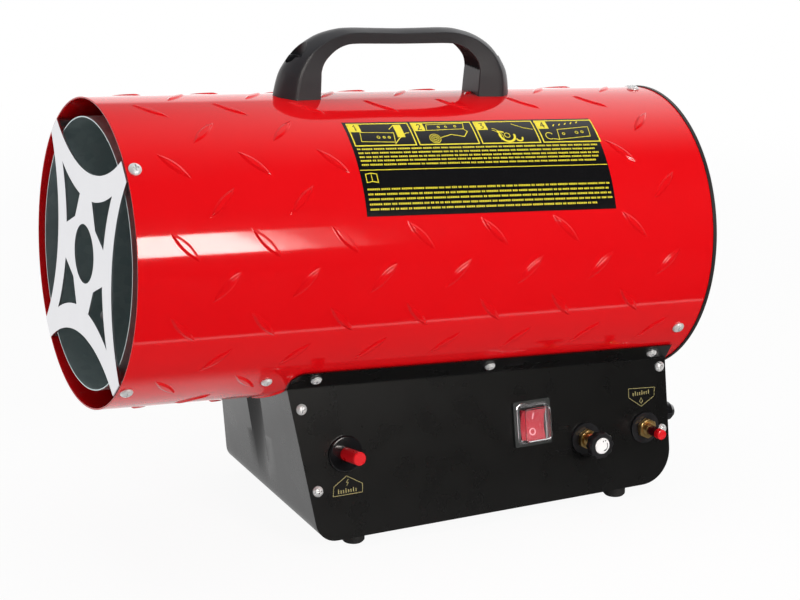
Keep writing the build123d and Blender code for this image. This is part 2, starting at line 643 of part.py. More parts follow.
# ------------------------------------------------------------------ carrying handle
side_view = Plane(on_axis(SPAN / 2), x_dir=ALONG, z_dir=(0, -1, 0))
HANDLE_HALF_W = 15.0
with BuildPart() as handle:
    with BuildSketch(side_view.offset(-HANDLE_HALF_W)):
        with BuildLine():
            Polyline((-61, 100), (-61, 128))
            ThreePointArc((-61, 128), (-54.5, 142.5), (-38, 149.4))
            Line((-38, 149.4), (46, 149.4))
            ThreePointArc((46, 149.4), (62.5, 142.5), (69, 128))
            Polyline((69, 128), (69, 100), (101.5, 100))
            Spline((101.5, 100), (90, 137), (68, 153), (48, 158), (4, 155.6), (-40, 158), (-60, 153),
                   (-82, 137), (-93.5, 100))
            Line((-93.5, 100), (-61, 100))
        make_face()
    extrude(amount=2 * HANDLE_HALF_W)
    fillet(handle.edges().group_by(SortBy.LENGTH)[-1], 5.0)
    rod(across(0), TUBE_R + REST, -20, SPAN + 20, mode=Mode.SUBTRACT)
    for s in HANDLE_SCREW_S:
        rod(skin(s, 90), 5.6, 10, 60, mode=Mode.SUBTRACT)
        rod(skin(s, 90), 2.6, -5, 20, mode=Mode.SUBTRACT)
handle.part.label = "handle"
export_step(handle.part, "parts/handle.step")

with BuildPart() as handle_screws:
    for s in HANDLE_SCREW_S:
        pan_screw(skin(s, 90, TUBE_R + 10), 18.0, head_r=4.8, shank_r=2.5, crown=3.2)
handle_screws.part.label = "handle_screws"
export_step(handle_screws.part, "parts/handle_screws.step")

with BuildPart() as handle_nuts:
    for s in HANDLE_SCREW_S:
        hexagon(skin(s, 90, TUBE_R - TUBE_WALL), 8.0, -4.4, -0.4, 2.5)
handle_nuts.part.label = "handle_nuts"
export_step(handle_nuts.part, "parts/handle_nuts.step")

# ------------------------------------------------------------------ spark igniter
IGNITER_REACH = 25.0
IGNITER_BUTTON_R = 5.0
with BuildPart() as igniter_body:
    turn(igniter_seat, [(0, -48), (5, -48), (5, -42), (9, -42), (9, REST), (13.6, REST), (13.6, 1.2),
                        (12.2, 2.6), (7.2, 3.6), (IGNITER_BUTTON_R + FIT, 3.6), (IGNITER_BUTTON_R + FIT, -16),
                        (0, -16)])
igniter_body.part.label = "igniter_body"
export_step(igniter_body.part, "parts/igniter_body.step")

with BuildPart() as igniter_nut:
    hexagon(igniter_seat, 24.0, -SHEET - REST - 4, -SHEET - REST, 9.0)
igniter_nut.part.label = "igniter_nut"
export_step(igniter_nut.part, "parts/igniter_nut.step")

with BuildPart() as igniter_button:
    turn(igniter_seat, [(0, -9), (IGNITER_BUTTON_R, -9), (IGNITER_BUTTON_R, IGNITER_REACH - 0.8),
                        (IGNITER_BUTTON_R - 0.8, IGNITER_REACH), (0, IGNITER_REACH)])
igniter_button.part.label = "igniter_button"
export_step(igniter_button.part, "parts/igniter_button.step")

# ------------------------------------------------------------------ fan switch
SWITCH_W = 31.5
SWITCH_H = 34.5
SWITCH_RIM = 2.2
POCKET_W = 20.4
POCKET_H = 26.4
PIVOT_DEPTH = -3.0
PIVOT_R = 1.5            # stub pins of the rocker, in bores in the pocket's walls
PIVOT_HALF = POCKET_W / 2 + 1.2
ROCKER_W = POCKET_W - 0.8
ROCKER_HALF = 11.9
ROCKER_TILT = 7.0
rocker_axis = switch_seat.offset(PIVOT_DEPTH)
pivot = Plane(rocker_axis.origin, x_dir=rocker_axis.y_dir, z_dir=rocker_axis.x_dir)
with BuildPart() as switch_body:
    with BuildSketch(switch_seat.offset(REST)):
        RectangleRounded(SWITCH_W, SWITCH_H, 1.5)
    extrude(amount=SWITCH_RIM)
    with BuildSketch(switch_seat.offset(REST)):
        Rectangle(27.4, 30.0)
    extrude(amount=-24)
    with BuildSketch(switch_seat.offset(-15)):
        Rectangle(POCKET_W, POCKET_H)
    extrude(amount=30, mode=Mode.SUBTRACT)
    rod(pivot, PIVOT_R + FIT, -PIVOT_HALF - 0.3, PIVOT_HALF + 0.3, mode=Mode.SUBTRACT)
    for side in (-1, 1):
        with BuildSketch(switch_seat.offset(-23)):
            with Locations((0, side * 8)):
                Rectangle(6.3, 0.8)
        extrude(amount=-9)
switch_body.part.label = "switch_body"
export_step(switch_body.part, "parts/switch_body.step")

with BuildPart() as switch_rocker:
    # seen from the end of its pivot: a shallow valley across the front, its upper end out, which is off
    with BuildSketch(turned(pivot, ROCKER_TILT).offset(-ROCKER_W / 2)):
        with BuildLine():
            ThreePointArc((-ROCKER_HALF, 8.2), (0, 5.0), (ROCKER_HALF, 8.2))
            Polyline((ROCKER_HALF, 8.2), (ROCKER_HALF, 5.6), (6, -2.5))
            ThreePointArc((6, -2.5), (0, -4.6), (-6, -2.5))
            Polyline((-6, -2.5), (-ROCKER_HALF, 5.6), (-ROCKER_HALF, 8.2))
        make_face()
    extrude(amount=ROCKER_W)
    rod(pivot, PIVOT_R, -PIVOT_HALF, PIVOT_HALF)
switch_rocker.part.label = "switch_rocker"
export_step(switch_rocker.part, "parts/switch_rocker.step")

with BuildPart() as switch_cover:
    # clear splash cover over the rocker
    with BuildSketch(switch_seat.offset(REST + SWITCH_RIM + REST)):
        RectangleRounded(27.0, 31.0, 2.5)
    extrude(amount=10.0, taper=4)
    fillet(switch_cover.faces().sort_by(Axis(switch_seat.origin, switch_seat.z_dir))[-1].edges(), 2.0)
    with BuildSketch(switch_seat.offset(REST + SWITCH_RIM + REST)):
        RectangleRounded(25.2, 29.2, 2.0)
    extrude(amount=9.1, taper=4, mode=Mode.SUBTRACT)
switch_cover.part.label = "switch_cover"
export_step(switch_cover.part, "parts/switch_cover.step")

# ------------------------------------------------------------------ gas controls
WASHER_R = 12.2
NUT_FLATS = 17.0
NUT_LOW = 2.2
with BuildPart() as control_washers:
    # tapered rings that turn the leaning side into a seat square to each stem
    for seat in (regulator_seat, valve_seat):
        rod(seat, WASHER_R, -3.0, NUT_LOW - REST)
    for seat, leaning in ((regulator_seat, on_side(*REGULATOR)), (valve_seat, on_side(*VALVE))):
        with BuildSketch(leaning.offset(REST)):
            Rectangle(60, 60)
        extrude(amount=-12, mode=Mode.SUBTRACT)
        rod(seat, GAS_STEM_R + REST, -10, 10, mode=Mode.SUBTRACT)
control_washers.part.label = "control_washers"
export_step(control_washers.part, "parts/control_washers.step")

with BuildPart() as control_nuts:
    for seat in (regulator_seat, valve_seat):
        hexagon(turned(seat, 12), NUT_FLATS, NUT_LOW, NUT_LOW + 5.0, GAS_STEM_R)
control_nuts.part.label = "control_nuts"
export_step(control_nuts.part, "parts/control_nuts.step")

REGULATOR_CAN_R = 14.0
KNOB_REACH = 25.8
KNOB_R = 10.6
KNOB_BACK = 14.2
KNOB_STEM_R = 3.0
with BuildPart() as regulator_body:
    turn(regulator_seat, [(0, -36), (REGULATOR_CAN_R - 4, -36), (REGULATOR_CAN_R, -32),
                          (REGULATOR_CAN_R, -10), (8, -6), (GAS_STEM_R, -6),
                          (GAS_STEM_R, KNOB_BACK - 0.6), (KNOB_STEM_R + FIT, KNOB_BACK - 0.6),
                          (KNOB_STEM_R + FIT, -8), (0, -8)])
regulator_body.part.label = "regulator_body"
export_step(regulator_body.part, "parts/regulator_body.step")

with BuildPart() as regulator_knob:
    turn(regulator_seat, [(0, -6), (KNOB_STEM_R, -6), (KNOB_STEM_R, KNOB_BACK), (KNOB_R - 0.8, KNOB_BACK),
                          (KNOB_R, KNOB_BACK + 0.8), (KNOB_R, KNOB_REACH - 1.8), (KNOB_R - 1.2, KNOB_REACH - 0.6),
                          (6.2, KNOB_REACH - 0.6), (6.2, KNOB_REACH - 2.0), (0, KNOB_REACH - 2.0)])
    with BuildSketch(regulator_seat.offset(KNOB_BACK - 1)):
        with PolarLocations(KNOB_R + 1.0, 18):
            Circle(1.5)
    extrude(amount=KNOB_REACH, mode=Mode.SUBTRACT)
regulator_knob.part.label = "regulator_knob"
export_step(regulator_knob.part, "parts/regulator_knob.step")

with BuildPart() as knob_cap:
    turn(regulator_seat, [(0, KNOB_REACH - 1.95), (6.15, KNOB_REACH - 1.95), (6.15, KNOB_REACH - 0.4),
                          (5.6, KNOB_REACH), (0, KNOB_REACH)])
knob_cap.part.label = "knob_cap"
export_step(knob_cap.part, "parts/knob_cap.step")

VALVE_CAN_R = 11.0
VALVE_REACH = 25.6
VALVE_BUTTON_R = 3.75
with BuildPart() as valve_body:
    turn(valve_seat, [(0, -34), (VALVE_CAN_R - 3, -34), (VALVE_CAN_R, -30), (VALVE_CAN_R, -8), (8, -5),
                      (GAS_STEM_R, -5), (GAS_STEM_R, 10.5), (VALVE_BUTTON_R + FIT, 10.5),
                      (VALVE_BUTTON_R + FIT, -16), (0, -16)])
valve_body.part.label = "valve_body"
export_step(valve_body.part, "parts/valve_body.step")

with BuildPart() as valve_button:
    turn(valve_seat, [(0, -9), (VALVE_BUTTON_R, -9), (VALVE_BUTTON_R, VALVE_REACH - 0.8),
                      (VALVE_BUTTON_R - 0.8, VALVE_REACH), (0, VALVE_REACH)])
valve_button.part.label = "valve_button"
export_step(valve_button.part, "parts/valve_button.step")

# ------------------------------------------------------------------ connections on the rear end
PROTRUDE = SPAN / 2 * cos(radians(TILT)) + TUBE_R * sin(radians(TILT)) - BASE_BACK  # as far as the tube
with BuildPart() as gas_inlet:
    turn(inlet_seat, [(3, -20), (INLET_R, -20), (INLET_R, 4.3), (INLET_END_R, 4.3),
                      (INLET_END_R, PROTRUDE - 1), (INLET_END_R - 0.8, PROTRUDE), (3, PROTRUDE)])
gas_inlet.part.label = "gas_inlet"
export_step(gas_inlet.part, "parts/gas_inlet.step")

with BuildPart() as inlet_nuts:
    hexagon(inlet_seat, 17.0, REST, 4.0, INLET_R)
    hexagon(inlet_seat, 17.0, -SHEET - 4.0, -SHEET - REST, INLET_R)
inlet_nuts.part.label = "inlet_nuts"
export_step(inlet_nuts.part, "parts/inlet_nuts.step")

GLAND_LONG = 10.2
with BuildPart() as cable_gland:
    turn(gland_seat, [(3.2, -9), (5.9, -9), (5.9, REST), (7.2, REST), (7.2, GLAND_LONG - 3.2),
                      (5.0, GLAND_LONG), (3.2, GLAND_LONG)])
cable_gland.part.label = "cable_gland"
export_step(cable_gland.part, "parts/cable_gland.step")

with BuildPart() as gland_nut:
    hexagon(gland_seat, 14.0, -SHEET - 4.0, -SHEET - REST, 5.9)
gland_nut.part.label = "gland_nut"
export_step(gland_nut.part, "parts/gland_nut.step")

# ------------------------------------------------------------------ pipes and leads inside
regulator_back = regulator_seat.origin - regulator_seat.z_dir * 36
valve_back = valve_seat.origin - valve_seat.z_dir * 34
igniter_back = igniter_seat.origin - igniter_seat.z_dir * 48
electrode_back = on_axis(276) + BACKWARD * PROBE_OFFSET
thermocouple_back = on_axis(276) - BACKWARD * PROBE_OFFSET

with BuildPart() as gas_pipe:
    inlet_back = inlet_seat.origin - inlet_seat.z_dir * 20
    pipe([tuple(inlet_back), tuple(inlet_corner), tuple(regulator_back)], 3.0, 14.0)
    link = regulator_seat.origin + Vector(REGULATOR_CAN_R + REST, 20, -0.6)
    rod(Plane(link, z_dir=(1, 0, 0)), 3.0, 0, VALVE[0] - REGULATOR[0] - REGULATOR_CAN_R - VALVE_CAN_R - 0.3)
gas_pipe.part.label = "gas_pipe"
export_step(gas_pipe.part, "parts/gas_pipe.step")

with BuildPart() as riser_pipe:
    pipe([tuple(valve_back), tuple(behind(valve_seat, -30)), (VALVE[0], -12, 34), (94.4, -4, 34),
          (94.4, 0, 199.7), tuple(on_axis(285))], 3.0, 9.0)
riser_pipe.part.label = "riser_pipe"
export_step(riser_pipe.part, "parts/riser_pipe.step")

with BuildPart() as spark_lead:
    pipe([tuple(igniter_back), tuple(behind(igniter_seat, -4)), (-30, 16, 48), (80, 24, 44),
          (80, PROBE_OFFSET, 199.3), tuple(electrode_back)], 2.0, 9.0)
spark_lead.part.label = "spark_lead"
export_step(spark_lead.part, "parts/spark_lead.step")

with BuildPart() as thermocouple_lead:
    pipe([(VALVE[0] - 6, valve_back.Y + 0.4, 49.5), (VALVE[0] - 6, -30, 40), (100, -24, 38),
          (84, -PROBE_OFFSET, 199.4), tuple(thermocouple_back)], 1.2, 9.0)
thermocouple_lead.part.label = "thermocouple_lead"
export_step(thermocouple_lead.part, "parts/thermocouple_lead.step")

TERMINAL_PLACE = (165.0, 32.0)
with BuildPart() as motor_lead:
    drop = on_axis(LEAD_HOLE_S) - RISE * 122
    pipe([tuple(on_axis(LEAD_HOLE_S) - RISE * MOTOR_R), tuple(drop), (*TERMINAL_PLACE, 62),
          (*TERMINAL_PLACE, 24.4)], 2.5, 9.0)
motor_lead.part.label = "motor_lead"
export_step(motor_lead.part, "parts/motor_lead.step")

with BuildPart() as lead_grommet:
    bushing = skin(LEAD_HOLE_S, -90)
    turn(bushing, [(2.55, -4.4), (7.4, -4.4), (7.4, -1.6), (5.9, -1.6), (5.9, 0.3), (7.4, 0.3), (7.4, 2.6),
                   (2.55, 2.6)])
lead_grommet.part.label = "lead_grommet"
export_step(lead_grommet.part, "parts/lead_grommet.step")

with BuildPart() as terminal_block:
    with BuildSketch(Plane.XY.offset(FOOT_H + SHEET + REST)):
        with Locations(TERMINAL_PLACE):
            Rectangle(36, 18)
    extrude(amount=14)
    with BuildSketch(Plane.XY.offset(FOOT_H + SHEET + 8)):
        with Locations(TERMINAL_PLACE):
            with Locations((-12, 0), (12, 0)):
                Circle(3.0)
    extrude(amount=10, mode=Mode.SUBTRACT)
terminal_block.part.label = "terminal_block"
export_step(terminal_block.part, "parts/terminal_block.step")
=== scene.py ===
# %% [markdown]
# # A forced-air gas heater, finished in Blender
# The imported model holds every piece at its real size. This lesson dresses it: the red tube gets
# its pressed tread pattern, the handle its moulded shape, and each surface a material made of
# nodes. The frame is loaded first, because everything else is placed by it.

# %% Load the frame
import json
from math import atan2, cos, degrees, exp, hypot, pi, radians, sin, sqrt, tan

import bmesh
import bpy
from mathutils import Matrix, Vector
from mathutils.geometry import delaunay_2d_cdt


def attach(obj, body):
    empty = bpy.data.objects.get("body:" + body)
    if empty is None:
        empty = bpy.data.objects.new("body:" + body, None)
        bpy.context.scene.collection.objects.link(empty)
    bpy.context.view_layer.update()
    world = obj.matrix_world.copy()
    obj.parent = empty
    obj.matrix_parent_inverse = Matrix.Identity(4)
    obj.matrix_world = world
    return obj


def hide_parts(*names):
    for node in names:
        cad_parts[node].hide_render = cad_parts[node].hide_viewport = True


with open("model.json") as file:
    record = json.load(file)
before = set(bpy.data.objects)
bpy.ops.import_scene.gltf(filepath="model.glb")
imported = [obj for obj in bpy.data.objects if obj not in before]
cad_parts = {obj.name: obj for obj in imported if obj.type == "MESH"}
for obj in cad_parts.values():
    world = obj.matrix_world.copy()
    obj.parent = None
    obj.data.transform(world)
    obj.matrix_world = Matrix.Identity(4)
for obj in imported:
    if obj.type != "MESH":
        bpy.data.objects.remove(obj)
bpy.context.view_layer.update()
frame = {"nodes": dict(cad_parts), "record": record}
nodes = frame["nodes"]

# %% [markdown]
# The tube leans: its outlet points up by a few degrees. All its fittings are easiest to place in
# the tube's own terms, so three directions are kept: along it, square to it, and sideways. A
# distance "s" runs back from the outlet's rim, and an angle runs up from the control side.

# %% The tube's own directions
MM = 0.001
TILT = radians(3.4)
ALONG = Vector((cos(TILT), 0, -sin(TILT)))
RISE = Vector((sin(TILT), 0, cos(TILT)))
FRONT = Vector((0, -1, 0))
SPAN = 457.0 * MM
TUBE_MIDDLE = Vector((0, 0, 205.3 * MM))


def outward(angle):
    """Direction away from the axis, at an angle in degrees."""
    return RISE * sin(radians(angle)) + FRONT * cos(radians(angle))


def linked(name, data):
    """A new object in the scene."""
    made = bpy.data.objects.new(name, data)
    bpy.context.scene.collection.objects.link(made)
    return made


print("outlet rim's middle:", [round(v, 4) for v in TUBE_MIDDLE - ALONG * SPAN / 2])

# %% [markdown]
# ## Camera
# The heater is seen from its outlet end, a little above, with a long lens, so that the tube's
# two ends look almost the same size. The angles turn the view from straight along +Y.

# %% Camera
CAMERA_PLACE = Vector((-0.68359, -1.42008, 0.64337))
CAMERA_TURN = radians(26.3261)       # towards +X
CAMERA_DIP = radians(-17.1299)
CAMERA_ROLL = radians(0.9750)
LENS = 98.4                          # mm, for a sensor 36 mm wide

camera_data = bpy.data.cameras.new("camera")
camera_data.lens = LENS
camera_data.sensor_width = 36.0
camera = linked("camera", camera_data)
camera.matrix_world = Matrix.Translation(CAMERA_PLACE)
for turn, axis in ((-CAMERA_TURN, "Z"), (pi / 2 + CAMERA_DIP, "X"), (CAMERA_ROLL, "Z")):
    camera.matrix_world = camera.matrix_world @ Matrix.Rotation(turn, 4, axis)
bpy.context.scene.camera = camera
bpy.context.scene.view_settings.view_transform = "Standard"
print("camera at", tuple(round(v, 3) for v in CAMERA_PLACE))

# %% [markdown]
# ## Shader sums
# A material in Blender is a graph of nodes. Written out by hand, even 1 - mask takes a node, two
# links and a default value. Here a socket is wrapped, so that ordinary sums in Python add the Math
# nodes, and one method makes every other node.

# %% Wrapped sockets
def in_sums(operation, reflected=False):
    """A method that adds a Math node. The reflected form takes the other value first."""
    def method(wire, other):
        first, second = (other, wire) if reflected else (wire, other)
        return wire.graph.node("ShaderNodeMath", {"operation": operation}, {0: first, 1: second})
    return method


class Wire:
    """An output socket that can be used in sums."""

    def __init__(self, graph, socket):
        self.graph, self.socket = graph, socket

    __add__, __radd__ = in_sums("ADD"), in_sums("ADD", True)
    __sub__, __rsub__ = in_sums("SUBTRACT"), in_sums("SUBTRACT", True)
    __mul__, __rmul__ = in_sums("MULTIPLY"), in_sums("MULTIPLY", True)
    __gt__, __lt__ = in_sums("GREATER_THAN"), in_sums("LESS_THAN")
    or_more = in_sums("MAXIMUM")


class Graph:
    """The nodes of one material, or of the world."""

    def __init__(self, tree):
        self.tree = tree
        tree.nodes.clear()

    def node(self, kind, settings=None, inputs=None, output=0):
        """Any node: its settings are set first, then its sockets get values or links."""
        made = self.tree.nodes.new(kind)
        for key, value in (settings or {}).items():
            setattr(made, key, value)
        for key, value in (inputs or {}).items():
            if isinstance(value, Wire):
                self.tree.links.new(value.socket, made.inputs[key])
            else:
                made.inputs[key].default_value = value
        return Wire(self, made.outputs[output]) if len(made.outputs) else None

    def blend(self, amount, first, second):
        """Colour between two colours."""
        return self.node("ShaderNodeMix", {"data_type": "RGBA"}, {0: amount, 6: first, 7: second}, 2)


def colour(red, green, blue):
    return (red, green, blue, 1.0)


print("sockets are wrapped")

# %% [markdown]
# ## Patterns
# Almost every finish here needs the same three things: where a point is on the piece, a cloudy
# pattern at some size, and a bump made from a pattern. Sizes are given in millimetres.

# %% Places, clouds and bumps
def place(graph):
    """Where a point is on its own piece."""
    return graph.node("ShaderNodeTexCoord", output=3)


def clouds(graph, size, detail=3.0, where=None):
    """Soft random pattern from 0 to 1, with features about this many millimetres wide."""
    where = where or place(graph)
    return graph.node("ShaderNodeTexNoise", None,
                      {"Vector": where, "Scale": 1000.0 / size, "Detail": detail})


def spread(graph, value, low, high):
    """Pulls a pattern's middle values apart, to 0 below low and 1 above high."""
    return graph.node("ShaderNodeMapRange", {"interpolation_type": "SMOOTHSTEP"},
                      {"Value": value, "From Min": low, "From Max": high})


def bump(graph, height, depth):
    """Normal of a surface whose height pattern is this many millimetres deep."""
    sockets = {"Height": height, "Distance": depth * MM, "Strength": 1.0}
    return graph.node("ShaderNodeBump", None, sockets)


print("patterns are ready")

# %% [markdown]
# A finish is then a Principled shader with some sockets fixed and some fed by patterns. Values
# that never change over the surface are set on the shader's own sockets. Nothing real has one even
# colour, so each finish takes two close shades, and a pattern goes from one to the other.

# %% Finishes
MATERIALS = {}


def new_material(name):
    """A new material, kept by its name, and its empty graph."""
    MATERIALS[name] = bpy.data.materials.new(name)
    MATERIALS[name].use_nodes = True
    return Graph(MATERIALS[name].node_tree)


def finish(name, recipe, shade, deep, *rest, **fixed):
    """A material: the recipe returns the sockets that patterns feed. One number is a grey."""
    graph = new_material(name)
    shades = [colour(*(tint if isinstance(tint, tuple) else [tint] * 3)) for tint in (shade, deep)]
    sockets = {key.replace("_", " ").title(): value for key, value in fixed.items()}
    sockets.update(recipe(graph, *shades, *rest))
    shader = graph.node("ShaderNodeBsdfPrincipled", None, sockets)
    graph.node("ShaderNodeOutputMaterial", None, {"Surface": shader})


def gloss_paint(graph, shade, deep):
    """Stoved enamel: a smooth clear top over the colour, with a trace of orange peel."""
    return {"Base Color": graph.blend(clouds(graph, 60), shade, deep),
            "Roughness": 0.05 + 0.05 * clouds(graph, 14),
            "Normal": bump(graph, clouds(graph, 9.0, 2.0), 0.02)}


def powder_paint(graph, shade, deep, rough):
    """Powder coat: a fine even texture that breaks up reflections."""
    return {"Base Color": graph.blend(clouds(graph, 45), shade, deep),
            "Roughness": rough + 0.08 * clouds(graph, 20),
            "Normal": bump(graph, clouds(graph, 0.7, 2.0), 0.03)}


def moulded(graph, shade, deep, rough, grain_size=0.5, grain_depth=0.02):
    """Moulded plastic: even colour with the fine grain of the mould."""
    return {"Base Color": graph.blend(clouds(graph, 12), shade, deep),
            "Roughness": rough + 0.08 * clouds(graph, 6),
            "Normal": bump(graph, clouds(graph, grain_size, 1.0), grain_depth)}


def worked_metal(graph, shade, deep, rough):
    """Rolled or drawn metal: fine streaks one way, which spread its reflections."""
    squeezed = graph.node("ShaderNodeMapping", None,
                          {"Vector": place(graph), "Scale": (1.0, 1.0, 12.0)})
    lines = clouds(graph, 3.0, 4.0, squeezed)
    return {"Base Color": graph.blend(clouds(graph, 25), shade, deep),
            "Roughness": rough + 0.14 * lines,
            "Normal": bump(graph, lines, 0.004)}


def galvanised(graph, shade, deep, rough):
    """Zinc-coated sheet: crystals of slightly different greys."""
    crystals = graph.node("ShaderNodeTexVoronoi", None, {"Vector": place(graph), "Scale": 160.0}, 1)
    value = graph.node("ShaderNodeRGBToBW", None, {0: crystals})
    return {"Base Color": graph.blend(value, shade, deep),
            "Roughness": rough + 0.16 * value,
            "Normal": bump(graph, clouds(graph, 8), 0.02)}


print("finishes are ready")

# %% [markdown]
# ## The heater's materials
# The tube is glossy red enamel, the base satin black powder coat, and the handle a grained
# plastic. Metals differ by how they were worked: rolled grille, galvanised liner, turned brass.

# %% Materials by name
finish("red_paint", gloss_paint, (0.65, 0.0045, 0.0075), (0.62, 0.0035, 0.006))
finish("black_paint", powder_paint, 0.005, 0.004, 0.24)
finish("black_edging", moulded, 0.012, 0.02, 0.45)
finish("galvanised_sheet", galvanised, (0.54, 0.64, 0.65), (0.66, 0.76, 0.76), 0.38, metallic=0.85)
finish("grille_steel", worked_metal, (0.77, 0.77, 0.79), (0.72, 0.72, 0.74), 0.26, metallic=1.0)
finish("zinc_screws", worked_metal, (0.92, 0.93, 0.93), (0.84, 0.85, 0.86), 0.42, metallic=0.6)
finish("bright_steel", worked_metal, (0.7, 0.7, 0.71), (0.6, 0.6, 0.61), 0.25, metallic=1.0)
finish("heat_steel", worked_metal, (0.42, 0.37, 0.31), (0.3, 0.28, 0.3), 0.38, metallic=1.0)
finish("motor_can", powder_paint, (0.05, 0.05, 0.055), (0.04, 0.04, 0.045), 0.4)
finish("fan_aluminium", worked_metal, (0.72, 0.73, 0.74), (0.62, 0.63, 0.64), 0.34, metallic=1.0)
finish("brass", worked_metal, (0.96, 0.66, 0.28), (0.86, 0.56, 0.2), 0.26, metallic=1.0)
finish("copper_tip", worked_metal, (0.76, 0.4, 0.24), (0.6, 0.32, 0.2), 0.3, metallic=1.0)
finish("ceramic", moulded, (0.82, 0.78, 0.7), (0.76, 0.72, 0.64), 0.2, 1.5, 0.01, coat_weight=0.5)
finish("rubber_feet", moulded, 0.012, 0.018, 0.62)
finish("handle_plastic", moulded, (0.028, 0.028, 0.031), (0.021, 0.021, 0.024), 0.38, 0.9, 0.05)
finish("gloss_black", moulded, (0.006, 0.006, 0.007), (0.009, 0.009, 0.01), 0.10, 3.0, 0.004,
       coat_weight=0.6, coat_roughness=0.04)
finish("knob_black", moulded, (0.014, 0.014, 0.016), (0.01, 0.01, 0.011), 0.30, 0.6, 0.01)
finish("washer_black", moulded, (0.01, 0.01, 0.012), (0.015, 0.015, 0.017), 0.28)
finish("red_button", moulded, (0.72, 0.006, 0.012), (0.62, 0.004, 0.01), 0.24, 2.0, 0.006,
       coat_weight=0.4, coat_roughness=0.08)
finish("white_cap", moulded, 0.86, 0.82, 0.22, 2.0, 0.004)
finish("panel_film", moulded, (0.004, 0.004, 0.0045), (0.006, 0.006, 0.0065), 0.16, 40.0, 0.03)
finish("yellow_ink", moulded, (0.78, 0.66, 0.03), (0.7, 0.58, 0.025), 0.30, 4.0, 0.004)
finish("gold_ink", moulded, (0.34, 0.3, 0.12), (0.28, 0.25, 0.1), 0.34, 2.0, 0.004)
finish("rocker_red", moulded, (0.42, 0.006, 0.02), (0.34, 0.004, 0.016), 0.22, 2.0, 0.006)
# The valve button's stem is the button's red made far darker, which is painted shade.
finish("stem_red", moulded, (0.06, 0.002, 0.006), (0.045, 0.001, 0.005), 0.20, 2.0, 0.006)
finish("mark_pink", moulded, (0.72, 0.3, 0.34), (0.64, 0.25, 0.29), 0.30, 2.0, 0.004)
finish("bezel_black", moulded, (0.03, 0.034, 0.034), (0.024, 0.027, 0.027), 0.34)
finish("lead_sleeve", moulded, 0.02, 0.03, 0.4)

# The clear cover lets lamps shine through it, so what is behind it stays lit.
graph = new_material("clear_cover")
TINT = colour(0.93, 0.91, 0.92)
glassy = graph.node("ShaderNodeBsdfPrincipled", None,
                    {"Base Color": TINT, "Roughness": 0.04, "Transmission Weight": 1.0, "IOR": 1.49,
                     "Normal": bump(graph, clouds(graph, 5.0, 1.0), 0.06)})
haze = graph.node("ShaderNodeBsdfDiffuse", None, {"Color": colour(0.80, 0.72, 0.76)})
hazy = graph.node("ShaderNodeMixShader", None, {0: 0.005, 1: glassy, 2: haze})
open_way = graph.node("ShaderNodeBsdfTransparent", None, {"Color": TINT})
in_shadow = graph.node("ShaderNodeLightPath", output=1)
mixed = graph.node("ShaderNodeMixShader", None, {0: in_shadow, 1: hazy, 2: open_way})
graph.node("ShaderNodeOutputMaterial", None, {"Surface": mixed})

for part in frame["record"]["subparts"]:
    shown = nodes[part["node"]]
    shown.data.materials.clear()
    shown.data.materials.append(MATERIALS[part["material_slot"]])
for node, name in (("switch_rocker", "rocker_red"), ("switch_body", "bezel_black")):
    nodes[node].data.materials[0] = MATERIALS[name]
print("materials:", len(MATERIALS))

# %% [markdown]
# ## Pieces from mesh code
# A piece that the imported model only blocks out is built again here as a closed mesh. Each one is
# given its material, rides on the body that carries it, and hides the plain node it stands for.

# %% Closed pieces
def band(first, second):
    """Faces between two closed rows of corners."""
    return list(zip(first, first[1:] + first[:1], second[1:] + second[:1], second))


def closed_mesh(name, points, faces):
    """A mesh whose faces all look outwards."""
    mesh = bpy.data.meshes.new(name)
    mesh.from_pydata([tuple(point) for point in points], [], faces)
    shape = bmesh.new()
    shape.from_mesh(mesh)
    bmesh.ops.recalc_face_normals(shape, faces=shape.faces)
    shape.to_mesh(mesh)
    shape.free()
    return mesh


def smoothed(mesh, crisp):
    """Smooth shading, with crisp edges where the surface turns by more than this many degrees."""
    mesh.shade_smooth()
    mesh.set_sharp_from_angle(angle=radians(crisp))
    return mesh


def carried(name, mesh, material, body="heater", replaced=(), slot=None):
    """Puts a finished mesh on its body."""
    mesh.materials.append(MATERIALS[material])
    made = linked(name, mesh)
    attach(made, body)
    slot or material
    if replaced:
        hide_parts(*replaced)
    print(name, "faces:", len(mesh.polygons))


def piece(name, points, faces, material, *where, crisp=35, **more):
    """A closed piece from its points and faces."""
    carried(name, smoothed(closed_mesh(name, points, faces), crisp), material, *where, **more)


# %% [markdown]
# ## Tread plate
# The tube is rolled from sheet pressed with a tread pattern: raised lenses in rows, leaning one
# way and then the other. A bump in the material would not show at the tube's outline, so the
# lenses are real. The wall is laid out flat, its points are joined into triangles, and then it is
# rolled up. Rings of points follow each lens, so few faces give it clean edges.

# %% The wall laid out flat
R_MM = 110.0             # outside of the wall
WALL_MM = 1.2
SEAM = -186.5            # where the rolled sheet meets, in degrees
LAP = 2 * pi * R_MM      # the sheet's width before rolling
AROUND = 216
PITCH = 58.6             # between lenses in a row
ROW_TURN = 15.0          # degrees from one row to the next
ROW_STARTS = (63.3, 34.0)   # first middles of the rows that lean one way and the other
LENS_HALF = 15.3
LENS_W = 3.5             # half width
LENS_RISE = 1.1
EDGE = 0.64              # part of the way in at which a lens has its full height


def flat(angle):
    """Place across the flat sheet for an angle, in mm."""
    return radians((angle - SEAM) % 360) * R_MM


def rolled(s, w, radius):
    """Point on the rolled tube for a place on the flat sheet."""
    return TUBE_MIDDLE + ALONG * (s * MM - SPAN / 2) + outward(degrees(w / R_MM) + SEAM) * (radius * MM)


print("the sheet is", round(LAP, 1), "mm wide before rolling")

